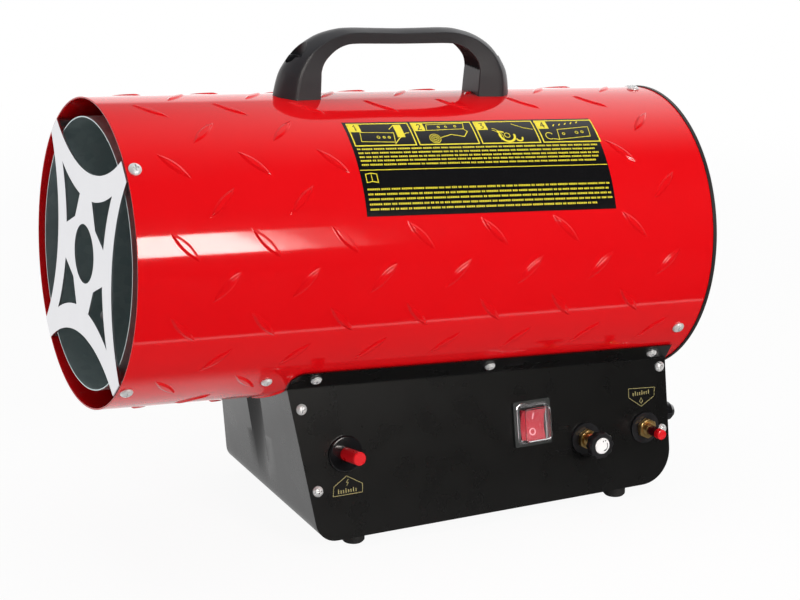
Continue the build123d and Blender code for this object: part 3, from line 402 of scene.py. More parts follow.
# %% Holes in the wall
HOLE_ROWS = [            # places along the tube, angles, radius
    ([6.3], (45, -45, 135, -135), 2.0), ([110.0], (-45.3, -134.7), 2.0),
    ([148.6, 289.3, 430.6], (-46.2, -133.8), 2.0), ([440.0], (-30, 90, -150), 2.0),
    ([151.0, 314.0], [90], 2.6), ([425.0], [-90], 6.0)]
HOLES = [(s, flat(angle), radius)
         for along, angles, radius in HOLE_ROWS for s in along for angle in angles]
SERVICE_SLOT = (327.2, flat(-90))
SLOT_HALF = 25.0         # along the tube, which is also the radius of its round ends
SLOT_STRAIGHT = 11.0


def circle(s, w, radius):
    """Outline of a round hole."""
    count = 12 if radius < 5 else 24
    turns = [2 * pi * i / count for i in range(count)]
    return [(s + radius * cos(turn), w + radius * sin(turn)) for turn in turns]


def slot_outline():
    """The service slot is cut straight up through the tube, so it widens on the flat sheet."""
    outline = []
    for side in (1, -1):
        for i in range(13):
            turn = pi * i / 12
            across = side * (SLOT_STRAIGHT + SLOT_HALF * sin(turn))
            outline.append((SERVICE_SLOT[0] + side * SLOT_HALF * cos(turn),
                            SERVICE_SLOT[1] + R_MM * atan2(across, sqrt(R_MM ** 2 - across ** 2))))
    return outline


OUTLINES = [circle(*hole) for hole in HOLES] + [slot_outline()]


def in_hole(s, w, margin=0.0):
    """Whether a place on the sheet is cut away, or nearer than the margin to a hole."""
    if any(hypot(s - hole_s, w - hole_w) < radius + margin for hole_s, hole_w, radius in HOLES):
        return True
    across = R_MM * sin((w - SERVICE_SLOT[1]) / R_MM)
    beyond = max(0.0, abs(across) - SLOT_STRAIGHT)
    return abs(w - SERVICE_SLOT[1]) < 60 and hypot(s - SERVICE_SLOT[0], beyond) < SLOT_HALF + margin


print("holes in the wall:", len(OUTLINES))

# %% [markdown]
# A lens is left out where something else needs the sheet flat: under the printed panel, under the
# flanges of the base, and beside the holes.

# %% Places of the lenses
PATTERN_S = (20.0, 436.0)
PANEL_S = (157.0, 382.0)
PANEL_W = (flat(23.0), flat(64.3))
FLANGES = [flat(-45.5), flat(-134.5)]
FLANGE_HALF = radians(6.5) * R_MM + 6.0  # with some room beside it
FLANGE_START = 135.0     # along the tube
HOLE_CLEAR = 13.0


def wanted(s, w):
    """Whether a lens fits here."""
    if not PATTERN_S[0] < s < PATTERN_S[1] or in_hole(s, w, HOLE_CLEAR):
        return False
    if PANEL_S[0] < s < PANEL_S[1] and PANEL_W[0] < w < PANEL_W[1]:
        return False
    return s < FLANGE_START or all(abs(w - middle) >= FLANGE_HALF for middle in FLANGES)


lenses = []
for row in range(round(360 / ROW_TURN)):
    w = flat(1.0 + ROW_TURN * row)
    middles = [ROW_STARTS[row % 2] + PITCH * k for k in range(-1, 8)]
    lenses += [(s, w, (1, -1)[row % 2]) for s in middles if wanted(s, w)]
print("lenses:", len(lenses))


# %% [markdown]
# Inside a lens, "depth" runs from 0 at its edge to 1 on its middle. The height climbs over the
# first part of that way and then stays level. Its slope gives the exact normal for every point, so
# the enamel's reflections are smooth even though the faces are large.

# %% Height of the wall
def clamped(value):
    """The value, held between 0 and 1."""
    return min(1.0, max(0.0, value))


def lens_frame(lens, s, w):
    """A place in a lens's own terms: along it and across it."""
    middle_s, middle_w, lean = lens
    ds, dw = s - middle_s, w - middle_w
    return (ds + lean * dw) / sqrt(2), (dw - lean * ds) / sqrt(2)


def lens_depth(u, v):
    return 1 - (u / LENS_HALF) ** 2 - abs(v) / LENS_W


def lens_height(lens, s, w):
    """Height and its two slopes, along the tube and around it."""
    u, v = lens_frame(lens, s, w)
    x = clamped(lens_depth(u, v) / EDGE)
    rate = LENS_RISE * 6 * x * (1 - x) / EDGE
    by_u = rate * -2 * u / LENS_HALF ** 2
    by_v = rate * ((v < -1e-6) - (v > 1e-6)) / LENS_W
    lean = lens[2]
    height = LENS_RISE * x * x * (3 - 2 * x)
    return height, (by_u - lean * by_v) / sqrt(2), (lean * by_u + by_v) / sqrt(2)


DENT = (117.0, flat(-57.0), 2.2, 15.0, 13.0)   # the sheet swells a little below the strap screw


def swell(s, w):
    """Slow rise of the sheet where the strap pulls it."""
    middle_s, middle_w, rise, long, wide = DENT
    ds, dw = (s - middle_s) / long, (w - middle_w) / wide
    height = rise * exp(-(ds * ds + dw * dw))
    return height, -2 * ds / long * height, -2 * dw / wide * height


RING_DEPTHS = (0.0, 0.12, 0.25, 0.38, 0.51, 0.64)
RING_POINTS = 28


def lens_rings(lens):
    """Closed outlines at several depths, from the lens's edge inwards."""
    middle_s, middle_w, lean = lens
    for depth in RING_DEPTHS:
        loop = []
        for i in range(RING_POINTS):
            turn = 2 * pi * i / RING_POINTS
            u = LENS_HALF * sqrt(1 - depth) * cos(turn)
            v = LENS_W * (1 - depth) * sin(turn) * abs(sin(turn))
            loop.append((middle_s + (u - lean * v) / sqrt(2), middle_w + (lean * u + v) / sqrt(2)))
        yield loop


print("points around one lens:", RING_POINTS * len(RING_DEPTHS))

# %% Joining the sheet's points into triangles
SHEET_ENDS = (0.3, 454.7)
GRID_GAP = 1.2           # between the grid's points and a hole
LENS_GAP = -0.3          # the same beside a lens, as a depth


def sheet_triangles(steps, rings):
    """Flat places and triangles of one side of the wall. The rings are kept as edges."""
    places, kept = [], []
    for loop in OUTLINES + rings:
        first, count = len(places), len(loop)
        places += loop
        kept += [(first + i, first + (i + 1) % count) for i in range(count)]
    near = [[lens for lens in lenses if rings and abs(lens[1] - LAP * j / AROUND) < LENS_HALF]
            for j in range(AROUND + 1)]
    grid_index = {}
    for s in steps:
        for j in range(AROUND + 1):
            w = LAP * j / AROUND
            crowded = any(lens_depth(*lens_frame(lens, s, w)) > LENS_GAP for lens in near[j])
            if s in SHEET_ENDS or not (crowded or in_hole(s, w, GRID_GAP)):
                grid_index[s, j] = len(places)
                places.append((s, w))
    made = delaunay_2d_cdt([Vector(place) for place in places], kept, [], 0, 1e-5, True)
    flat_places = [tuple(vertex) for vertex in made[0]]
    triangles = [triangle for triangle in made[2]
                 if not in_hole(*(sum(flat_places[i][axis] for i in triangle) / 3 for axis in (0, 1)))]
    number = {source: new for new, sources in enumerate(made[3]) for source in sources}
    loops, first = [], 0
    for loop in OUTLINES:
        loops.append([number[first + i] for i in range(len(loop))])
        first += len(loop)
    return flat_places, triangles, loops, {key: number[place] for key, place in grid_index.items()}


print("the sheet's grid has", AROUND, "columns")

# %% [markdown]
# The outer and the inner side are joined at the two ends and around each hole. The ends are
# slightly rounded, as a cut edge under enamel is.

# %% The rolled tube
points, faces, normals = [], [], []
LENS_REACH = 12.0        # no lens reaches farther than this from its middle, along or around


def roll_side(radius, steps, rings):
    """Adds one side of the wall. Returns its hole outlines and its two end rows."""
    flat_places, triangles, holes, grid = sheet_triangles(steps, rings)
    index = list(range(len(points), len(points) + len(flat_places)))
    for s, w in flat_places:
        lift = swell(s, w)
        for lens in lenses if rings else ():
            if abs(s - lens[0]) < LENS_REACH and abs(w - lens[1]) < LENS_REACH:
                lift = [a + b for a, b in zip(lift, lens_height(lens, s, w))]
        points.append(rolled(s, w, radius + lift[0]))
        angle = degrees(w / R_MM) + SEAM
        normal = (outward(angle) - ALONG * lift[1] - outward(angle + 90) * lift[2]).normalized()
        normals.append(normal if rings else -normal)
    for s in steps:
        index[grid[s, AROUND]] = index[grid[s, 0]]
    for triangle in triangles:
        faces.append([index[i] for i in triangle][::1 if rings else -1])
    rows = [[index[grid[s, j]] for j in range(AROUND)] for s in SHEET_ENDS]
    return [[index[i] for i in loop] for loop in holes], rows


steps = [SHEET_ENDS[0]] + [PITCH / 9 * i for i in range(1, 70)] + [SHEET_ENDS[1]]
outer_holes, outer_rows = roll_side(R_MM, steps, [loop for lens in lenses for loop in lens_rings(lens)])
inner_holes, inner_rows = roll_side(R_MM - WALL_MM, steps[:-1:6] + steps[-1:], [])
wall_faces = len(faces)
for outer_loop, inner_loop in zip(outer_holes, inner_holes):
    faces += band(outer_loop, inner_loop)
for end, end_s in enumerate((0.0, 455.0)):
    chain = [outer_rows[end]]
    for radius in (R_MM - WALL_MM / 4, R_MM - WALL_MM * 3 / 4):
        chain.append(list(range(len(points), len(points) + AROUND)))
        points += [rolled(end_s, LAP * j / AROUND, radius) for j in range(AROUND)]
    chain.append(inner_rows[end])
    for first, second in zip(chain, chain[1:]):
        faces += [quad[::-1] if end else quad for quad in band(first, second)]

tube_mesh = bpy.data.meshes.new("tread_tube")
tube_mesh.from_pydata([tuple(point) for point in points], [], faces)
tube_mesh.shade_smooth()
corner_normals = []
for face in tube_mesh.polygons:
    exact = face.index < wall_faces
    corner_normals += [tuple(normals[corner]) if exact else (0, 0, 0) for corner in face.vertices]
tube_mesh.normals_split_custom_set(corner_normals)
carried("tread_tube", tube_mesh, "red_paint", replaced=["outer_tube"])

# %% [markdown]
# ## Printed panel
# A thin black film lies on the tube, printed with yellow frames, simple pictures and rules. Each
# printed line is a real strip, less than 0.1 mm thick, drawn on the flat sheet and rolled with it.
# That keeps its edges sharp at any distance, which a picture could not. The rules stand in for
# writing.

# %% Drawing on a sheet
class Drawing:
    """Thin closed shapes on a sheet that lie between two heights above it."""

    def __init__(self, to_space, low, high):
        self.to_space, self.low, self.high = to_space, low, high
        self.points, self.faces = [], []

    def shape(self, strips):
        """A solid whose top is a row of quads between pairs of points."""
        first, down = len(self.points), 2 * len(strips)
        for height in (self.high, self.low):
            for left, right in strips:
                self.points += [self.to_space(*left, height), self.to_space(*right, height)]
        for i in range(first, first + down - 2, 2):
            self.faces += [(i, i + 1, i + 3, i + 2),
                           (i + down, i + down + 2, i + down + 3, i + down + 1)]
        rim = list(range(first, first + down, 2)) + list(range(first + down - 1, first, -2))
        self.faces += band(rim, [i + down for i in rim])

    def bar(self, x, y, width, height, step=3.0):
        """Upright rectangle, cut across so that it can follow a curve."""
        count = max(1, round(height / step))
        levels = [y + height * i / count for i in range(count + 1)]
        self.shape([((x, level), (x + width, level)) for level in levels])

    def line(self, corners, width, closed=False):
        """A line of even width through corners, with mitred bends."""
        if closed:
            corners = corners + corners[:1]
        fine = [corners[0]]
        for (x0, y0), (x1, y1) in zip(corners, corners[1:]):
            pieces = max(1, round(abs(y1 - y0) / 2.5))
            fine += [(x0 + (x1 - x0) * i / pieces, y0 + (y1 - y0) * i / pieces)
                     for i in range(1, pieces + 1)]
        corners = fine
        strips, count = [], len(corners)
        for i, (x, y) in enumerate(corners):
            before = corners[i - 1] if i else (corners[-2] if closed else None)
            after = corners[i + 1] if i < count - 1 else (corners[1] if closed else None)
            ends = [pair for pair in ((before, (x, y)), ((x, y), after)) if None not in pair]
            ways = [(Vector(end) - Vector(start)).normalized() for start, end in ends]
            way = sum(ways, Vector((0, 0)))
            half = way.normalized() * (width / 2 / max(0.4, way.length / len(ways)))
            strips.append(((x - half.y, y + half.x), (x + half.y, y - half.x)))
        self.shape(strips)

    def arc(self, x, y, radius, start, end, width, count=14):
        """Part of a ring, or a whole one, between two angles in degrees."""
        turns = [radians(start + (end - start) * i / count) for i in range(count + 1)]
        self.line([(x + radius * cos(turn), y + radius * sin(turn)) for turn in turns], width)

    def finish(self, name, material, slot, body="heater"):
        piece(name, self.points, self.faces, material, body, slot=slot)


print("bars, lines and arcs can be drawn")

# %% The film
FILM_S, FILM_W = 168.6, flat(23.0) + 1.3
FILM_LONG, FILM_WIDE = 201.5, 78.4
CROOKED = -0.0115        # it was stuck on a little askew
FILM_LOW, FILM_TOP, INK_TOP, DIGIT_TOP = 0.02, 0.14, 0.20, 0.24    # above the wall


def on_film(x, y, height):
    """Point over the film's place on the tube, from its lower left corner."""
    return rolled(FILM_S + x - CROOKED * y, FILM_W + y + CROOKED * x, R_MM + height)


film = Drawing(on_film, FILM_LOW, FILM_TOP)
film.bar(0, 0, FILM_LONG, FILM_WIDE, 2.0)
film.finish("printed_panel", "panel_film", "gloss_black")

# %% [markdown]
# The print has four frames with numbered corners over two blocks of rules. The pictures are plain
# signs: a set of controls, a bottle seen from above, a turning arrow and a row of knobs.

# %% The print
ink = Drawing(on_film, FILM_TOP, INK_TOP)
CELL_LONG, CELL_LOW, CELL_HIGH = 47.6, 54.6, 76.4
CELLS = [2.9, 53.4, 103.9, 154.4]
for left in CELLS:
    right = left + CELL_LONG
    ink.line([(left, CELL_LOW), (right, CELL_LOW), (right, CELL_HIGH), (left, CELL_HIGH)], 0.95, True)
    ink.bar(left + 0.6, CELL_HIGH - 8.6, 8.4, 8.0)


def control_box(x, y, width, height, slant, knobs):
    """Outline of a box of controls, with rings for its knobs."""
    top = y + height
    ink.line([(x, y), (x + width, y + slant), (x + width + 1.5, top + slant), (x + 1.5, top)], 0.5, True)
    for share, radius in knobs:
        ink.arc(x + width * share, y + slant * share + height * 0.5, radius, 0, 360, 0.5)


def strokes(left, *rows):
    """Lines of a picture: a width, then corners from its cell's left side."""
    for width, *corners in rows:
        ink.line([(left + x, y) for x, y in corners], width)


left = CELLS[0]
control_box(left + 6, 58.5, 26, 9.0, -1.0, [(0.55, 1.1), (0.72, 0.9), (0.87, 0.9)])
ink.bar(left + 35.5, 62.0, 6.0, 12.8)
strokes(left, (0.6, (31, 70), (36, 74.5)), (0.6, (31.5, 55.8), (36.5, 61), (43, 66), (45.8, 66.4)))
left = CELLS[1]
control_box(left + 10, 68.3, 30, 6.0, 1.0, [(0.35, 0.9), (0.55, 0.8), (0.8, 0.9)])
for radius in (1.3, 2.8, 4.3):
    ink.arc(left + 14, 60.2, radius, 0, 360, 0.5)
strokes(left, (0.6, (19, 61), (28, 63.8), (38, 61.5), (42, 66.5), (39, 70)))
left = CELLS[2]
for x, y, radius, start, end, width in (
        (10, 60.5, 7.2, -25, 75, 0.45), (10, 60.5, 9.0, -25, 75, 0.45), (22.5, 62.0, 6.0, -195, 10, 1.7),
        (22.5, 62.0, 2.2, 0, 360, 0.5), (31.5, 59.0, 2.6, -170, 20, 1.3)):
    ink.arc(left + x, y, radius, start, end, width)
strokes(left, (1.1, (17.5, 61.4), (16.2, 66.2), (20.6, 65.0)), (0.5, (30, 73.6), (39, 69), (46, 67.4)))
left = CELLS[3]
control_box(left + 14, 57.2, 27, 9.6, 2.4, [(0.2, 1.0), (0.62, 1.2), (0.8, 1.0)])
for i in range(5):
    strokes(left + 5.2 * i, (0.8, (13.4, 70.4 + 0.7 * i), (15.2, 72.2 + 0.7 * i)))
ink.arc(left + 7.0, 60.6, 3.2, 30, 300, 0.6)
strokes(left, (0.6, (9, 57.8), (14, 57.0)))

# %% Rules in place of writing
def rules(draw, rows):
    """Rows of small blocks in groups, like lines of small writing seen from far away."""
    for y, end in rows:
        x = 3.2
        while x < end - 1.0:
            draw = (draw * 29 + 17) % 101
            for _ in range(2 + draw % 6):
                if x < end - 1.0:
                    ink.bar(x, y, 0.95, 1.35)
                x += 1.4
            x += 0.9


rules(7, [(50.9, 198.5), (47.5, 195.0), (44.1, 197.6), (41.0, 196.0), (37.7, 194.6)])
rules(41, [(18.8, 199.2), (15.1, 198.4), (11.5, 199.0), (7.9, 199.4), (4.3, 187.0)])
ink.bar(0.6, 33.9, FILM_LONG - 1.2, 0.55)
ink.line([(4.0, 24.6), (8.3, 25.4), (12.6, 24.6), (12.6, 31.0), (8.3, 31.8), (4.0, 31.0)], 0.6, True)
ink.line([(8.3, 25.9), (8.3, 31.3)], 0.5)
ink.finish("panel_print", "yellow_ink", "brass")

digits = Drawing(on_film, INK_TOP, DIGIT_TOP)
ONE_TO_FOUR = [
    [(0.6, 3.6), (1.6, 4.6), (1.6, 0)],
    [(0.2, 3.6), (1.0, 4.6), (2.2, 4.4), (2.5, 3.2), (0.2, 0.2), (2.7, 0.2)],
    [(0.3, 4.4), (2.3, 4.4), (1.3, 2.7), (2.5, 1.8), (2.0, 0.4), (0.2, 0.3)],
    [(2.0, 0), (2.0, 4.6), (0.1, 1.5), (2.9, 1.5)]]
for left, corners in zip(CELLS, ONE_TO_FOUR):
    digits.line([(left + 3.4 + x * 1.15, CELL_HIGH - 7.4 + y * 1.25) for x, y in corners], 0.75)
digits.finish("panel_numbers", "panel_film", "gloss_black")

# %% [markdown]
# ## Carrying handle
# The handle is one moulding. Its sides are flat, its outer face swells between two crisp edges, and
# the grip is narrower than the feet. A stretched cube could not show that, so it is lofted: closed
# outlines stand in a row along the handle, and each is joined to the next.

# %% Smooth rows and turned solids
def through(rows, count):
    """Smooth rows of numbers through the given ones, with this many steps between them."""
    fine, last = [], len(rows) - 1
    for i in range(last):
        before, start, end, after = (rows[max(0, min(last, k))] for k in range(i - 1, i + 3))
        for step in range(count):
            t = step / count
            fine.append([
                b + t / 2 * (c - a + t * (2 * a - 5 * b + 4 * c - d + t * (3 * b - 3 * c + d - a)))
                for a, b, c, d in zip(before, start, end, after)])
    return fine + [list(rows[-1])]


def skinned(rows, ring=False):
    """Points and faces of a solid over closed rows. A ring joins its last row to its first."""
    count = len(rows[0])
    numbers = [list(range(k * count, (k + 1) * count)) for k in range(len(rows))]
    solid_faces = []
    for first, second in zip(numbers, numbers[1:] + (numbers[:1] if ring else [])):
        solid_faces += band(first, second)
    if not ring:
        solid_faces += [numbers[0][::-1], numbers[-1]]
    return [point for row in rows for point in row], solid_faces


def on_seat(seat):
    """Turns places in millimetres on a seat into points."""
    return lambda x, y, height: seat @ (Vector((x, y, height)) * MM)


def turned(seat, outline, count=48, held=None, ring=False):
    """A solid turned about a seat's axis, from corners of (radius, height)."""
    turns = [2 * pi * i / count for i in range(count)]
    rows = []
    for radius, height in outline:
        reaches = [held(radius, turn) if held else radius for turn in turns]
        rows.append([on_seat(seat)(reach * cos(turn), reach * sin(turn), height)
                     for reach, turn in zip(reaches, turns)])
    return skinned(rows, ring)


def seat_matrix(origin, across, outwards):
    """Placement whose x runs across and whose z points outwards."""
    upwards = outwards.cross(across)
    return Matrix.Translation(origin) @ Matrix((across, upwards, outwards)).transposed().to_4x4()


print("rows can be smoothed, skinned and turned")

# %% Cutting one solid out of another
def cut(name, block, cutters):
    """Mesh of a solid with others taken away from it."""
    whole, *tools = [linked(name, closed_mesh(name, *solid)) for solid in [block] + cutters]
    for tool in tools:
        modifier = whole.modifiers.new("cut", "BOOLEAN")
        modifier.object = tool
        modifier.operation = "DIFFERENCE"
        modifier.solver = "EXACT"
    shaped = whole.evaluated_get(bpy.context.evaluated_depsgraph_get())
    mesh = bpy.data.meshes.new_from_object(shaped)
    for extra in [whole] + tools:
        bpy.data.objects.remove(extra)
    mesh.materials.clear()
    mesh.name = name
    return mesh


print("solids can be cut")

# %% [markdown]
# Half of the handle is measured, and the other half mirrors it. A station holds the inner edge and
# the outer edge of a side, the half width between the sides, and how far the outer face swells.

# %% Stations of the handle
HANDLE_MIDDLE = 4.0
HALF_HANDLE = [
    (-59.9, 98.0, -80.6, 98.0, 14.9, 11.6), (-59.9, 112.0, -80.0, 111.5, 14.5, 11.2),
    (-60.1, 124.0, -78.7, 123.8, 14.2, 10.0), (-59.9, 130.0, -76.2, 131.2, 13.8, 8.6),
    (-57.1, 136.8, -69.8, 141.4, 13.1, 6.0), (-49.7, 143.9, -57.6, 150.7, 12.1, 3.6),
    (-41.4, 147.6, -44.6, 155.3, 10.9, 2.4), (-32.8, 148.6, -33.4, 156.7, 10.0, 2.0),
    (-15.0, 148.4, -15.0, 156.3, 9.0, 2.2), (4.0, 148.2, 4.0, 155.8, 8.6, 2.4),
]
MIRRORED = [(2 * HANDLE_MIDDLE - a, b, 2 * HANDLE_MIDDLE - c, d, wide, rise)
            for a, b, c, d, wide, rise in HALF_HANDLE[-2::-1]]
handle_rows = through(HALF_HANDLE + MIRRORED, 6)
SIDE_SHARES = (0.04, 0.16, 0.5, 0.84, 0.955)
OUTER_SHARES = (0.965, 0.91, 0.82, 0.68, 0.50, 0.26, 0.0)
RIB_STEPS, RIB_DEPTH = 24, 3.0
RIBS_ABOVE, RIBS_ASIDE = 128.5, 48.0     # the ribs start here, from the axis and from the middle
INNER_SHARE = 0.91       # of the half width, on the inner face


def handle_outline(station):
    """Closed outline at a station: along the tube, above its axis, and sideways."""
    inner_x, inner_h, outer_x, outer_h, half, rise = station
    depth = hypot(outer_x - inner_x, outer_h - inner_h)
    out_x, out_h = (outer_x - inner_x) / depth, (outer_h - inner_h) / depth
    inner_half = half * INNER_SHARE
    near = [(share * depth, -(inner_half + (half - inner_half) * share)) for share in SIDE_SHARES]
    face = [(depth + rise * (1 - share * share), -half * share) for share in OUTER_SHARES]
    half_loop = near + face
    loop = half_loop + [(reach, -y) for reach, y in half_loop[-2::-1]]
    aside = abs(inner_x - HANDLE_MIDDLE) - RIBS_ASIDE
    groove = RIB_DEPTH * clamped((inner_h - RIBS_ABOVE) / 2.5) * clamped(aside / 8.0)
    for j in range(RIB_STEPS + 1):
        loop.append((groove if j % 4 else 0.0, inner_half * 0.96 * (1 - 2 * j / RIB_STEPS)))
    return [(inner_x + out_x * reach, inner_h + out_h * reach, y) for reach, y in loop]


def by_handle(x, h, y):
    """Point from millimetres along the tube, above its axis, and sideways."""
    return TUBE_MIDDLE + ALONG * (x * MM) + RISE * (h * MM) - FRONT * (y * MM)


print("outlines along the handle:", len(handle_rows))

# %% The handle
handle_block = skinned([[by_handle(*corner) for corner in handle_outline(station)]
                        for station in handle_rows])
saddle_seat = seat_matrix(TUBE_MIDDLE - ALONG * 0.15, FRONT, ALONG)
SADDLE_R = R_MM + 0.05   # a hair outside the tube
WELL = [(2.7, 104), (2.7, 120), (5.7, 120), (5.7, 138.5), (9.2, 138.5), (9.2, 175)]
handle_cutters = [turned(saddle_seat, [(SADDLE_R, 0), (SADDLE_R, 300)], 240)]
for x in (-77.5, 85.5):
    handle_cutters.append(turned(seat_matrix(TUBE_MIDDLE + ALONG * (x * MM), FRONT, RISE), WELL))
handle_mesh = smoothed(cut("carry_handle", handle_block, handle_cutters), 28)
carried("carry_handle", handle_mesh, "handle_plastic", replaced=["handle"])

# %% [markdown]
# ## Base channel
# One strip of sheet is folded up at both ends, between the two sides. Its outlet end has a pressed
# gutter, which fades out towards the floor. Bending a flat plate would pull it out of shape, so
# the strip is laid out as rows of points on its outer face and on its inner face, and the rows'
# ends follow the leaning sides.

# %% Sides of the base
SIDE_LEAN = radians(10.7)
SIDE_OUT = (FRONT * cos(SIDE_LEAN) + RISE * sin(SIDE_LEAN)).normalized()
SIDE_BEND = TUBE_MIDDLE + FRONT * (67.9 * MM) - RISE * (88.2 * MM)
SHEET_T = 1.2            # the sheet's thickness


def side_depth(x, z, offset):
    """How far a base side lies from the middle, at a distance outside its sheet's middle. In mm."""
    away = offset * MM - SIDE_OUT.x * (x * MM - SIDE_BEND.x) - SIDE_OUT.z * (z * MM - SIDE_BEND.z)
    return -(SIDE_BEND.y + away / SIDE_OUT.y) / MM


def side_seat(x, z, droop=0.0):
    """Placement on the outer face of the control side."""
    origin = Vector((x, -side_depth(x, z, SHEET_T / 2), z)) * MM
    seat = seat_matrix(origin, Vector((-SIDE_OUT.y, SIDE_OUT.x, 0)).normalized(), SIDE_OUT)
    return seat @ Matrix.Rotation(radians(droop), 4, "X")


print("the base's sides lean in by", round(degrees(SIDE_LEAN), 1), "degrees")

# %% Layout of the channel
CHANNEL_FRONT_X, CHANNEL_BACK_X, CHANNEL_Z = -86.4, 215.3, 9.0
FRONT_TOP_X, FRONT_TOP_Z = -103.8, 124.2
FRONT_LEAN = atan2(CHANNEL_FRONT_X - FRONT_TOP_X, FRONT_TOP_Z - CHANNEL_Z)
FRONT_BEND_R, BACK_BEND_R = 16.0, 26.0
GUTTER_MIDDLE, GUTTER_HALF, GUTTER_DEEP = 6.0, 15.0, 8.0
GUTTER_FOOT, GUTTER_RISE = 27.0, 62.0    # it starts this high and is deepest that much higher
PLAIN_COLUMNS, GUTTER_COLUMNS = 5, 16


def channel_route(inset):
    """The folded strip seen from the side, from its outlet end to its rear end."""
    route = []
    front_middle = CHANNEL_FRONT_X + FRONT_BEND_R * (1 / cos(FRONT_LEAN) - tan(FRONT_LEAN))
    for middle_x, radius, start, end, steps in (
            (front_middle, FRONT_BEND_R, 180 + degrees(FRONT_LEAN), 270, 8),
            (CHANNEL_BACK_X - BACK_BEND_R, BACK_BEND_R, 270, 360, 10)):
        for i in range(steps + 1):
            turn = radians(start + (end - start) * i / steps)
            reach = radius - inset
            route.append((middle_x + reach * cos(turn), CHANNEL_Z + radius + reach * sin(turn)))
    return route


def gutter_half(z):
    return GUTTER_HALF - 2.5 * clamped((90.0 - z) / 60.0)


def column_y(column, x, z):
    """Sideways place of a column: some are plain, and the middle ones keep to the gutter."""
    half, groove = side_depth(x, z, -SHEET_T / 2 - 0.05), gutter_half(z)
    low, high = GUTTER_MIDDLE - groove, GUTTER_MIDDLE + groove
    for start, end, count in ((-half, low, PLAIN_COLUMNS), (low, high, GUTTER_COLUMNS),
                              (high, half, PLAIN_COLUMNS)):
        if column <= count:
            return start + (end - start) * column / count
        column -= count


def gutter_depth(y, z):
    """Depth of the pressed gutter at a place on the outlet end."""
    aside = (y - GUTTER_MIDDLE) / gutter_half(z)
    return GUTTER_DEEP * clamped((z - GUTTER_FOOT) / GUTTER_RISE) * clamped(1 - aside * aside)


def top_of_end(x_low, z_low, lean, column):
    """Height at which a column of an end plate meets the tube."""
    z = 120.0
    for _ in range(8):
        x = x_low - (z - z_low) * lean
        y = column_y(column, x, z)
        above = (Vector((x * MM, 0, z * MM)) - TUBE_MIDDLE).dot(RISE) / MM
        z -= above + sqrt(SADDLE_R ** 2 - y * y)
    return z


print("the outlet end leans out by", round(degrees(FRONT_LEAN), 1), "degrees")

# %% The channel
COLUMNS = range(2 * PLAIN_COLUMNS + GUTTER_COLUMNS + 1)
FRONT_STEPS, BACK_STEPS = 16, 4


def channel_face(inset):
    """Rows of points on the outer face, or on the inner one when inset by the sheet."""
    route, plates = channel_route(inset), []
    for (x_low, z_low), lean, steps in ((route[0], tan(FRONT_LEAN), FRONT_STEPS),
                                        (route[-1], 0, BACK_STEPS)):
        plate = []
        for i in range(1, steps + 1):
            row = []
            for column in COLUMNS:
                z = z_low + (top_of_end(x_low, z_low, lean, column) - z_low) * i / steps
                x = x_low - (z - z_low) * lean
                y = column_y(column, x, z)
                row.append((x + (gutter_depth(y, z) if lean else 0), y, z))
            plate.append(row)
        plates.append(plate)
    folded = [[(x, column_y(column, x, z), z) for column in COLUMNS] for x, z in route]
    return plates[0][::-1] + folded + plates[1]


outer_face, inner_face = channel_face(0.0), channel_face(SHEET_T)
wide, long = len(COLUMNS), len(outer_face)
channel_points = [Vector(point) * MM for row in outer_face + inner_face for point in row]
channel_faces = []
for side in range(2):
    for i in range(long - 1):
        for j in range(wide - 1):
            corner = side * wide * long + i * wide + j
            channel_faces.append((corner, corner + 1, corner + wide + 1, corner + wide))
rim = list(range(wide)) + [i * wide + wide - 1 for i in range(1, long)]
rim += [(long - 1) * wide + j for j in range(wide - 2, -1, -1)]
rim += [i * wide for i in range(long - 2, 0, -1)]
channel_faces += band(rim, [corner + wide * long for corner in rim])
rear_holes = []
for y, z, radius in ((-66.0, 58.7, 6.0), (22.0, 44.53, 7.0)):
    rear_seat = seat_matrix(Vector((CHANNEL_BACK_X, y, z)) * MM, FRONT, Vector((1, 0, 0)))
    rear_holes.append(turned(rear_seat, [(radius, -4), (radius, 4)]))
channel_mesh = smoothed(cut("base_strip", (channel_points, channel_faces), rear_holes), 30)
carried("base_strip", channel_mesh, "black_paint", replaced=["base_channel"])

# %% [markdown]
# ## Controls
# The controls stand square to the leaning side, and the two gas controls droop a little from it.
# Each is turned about its own axis from a short list of corners. The nuts are turned too: holding
# the radius back to a hexagon gives the round chamfer that a real nut has.

# %% Igniter and gas controls
IGNITER, SWITCH, REGULATOR, VALVE = (-61.5, 70.5), (93.5, 71.2), (139.6, 52.8), (193.0, 53.4)
DROOP = 6.0              # degrees
igniter_seat = side_seat(*IGNITER)
regulator_seat = side_seat(*REGULATOR, DROOP)
valve_seat = side_seat(*VALVE, DROOP)
NUT_FLATS = 14.0         # from one flat to the opposite one
KNOB_CORE = 8.5          # radius below which the knob stays round


def hexagonal(radius, turn):
    """Holds a radius back to the flats of a nut."""
    from_flat = (degrees(turn) + 30) % 60 - 30
    return min(radius, NUT_FLATS / 2 / cos(radians(from_flat)))


def lobed(radius, turn):
    """Draws a knob's outer radius in between its ten lobes."""
    return radius - max(0.0, radius - KNOB_CORE) * 0.21 * (1 - cos(10 * turn))


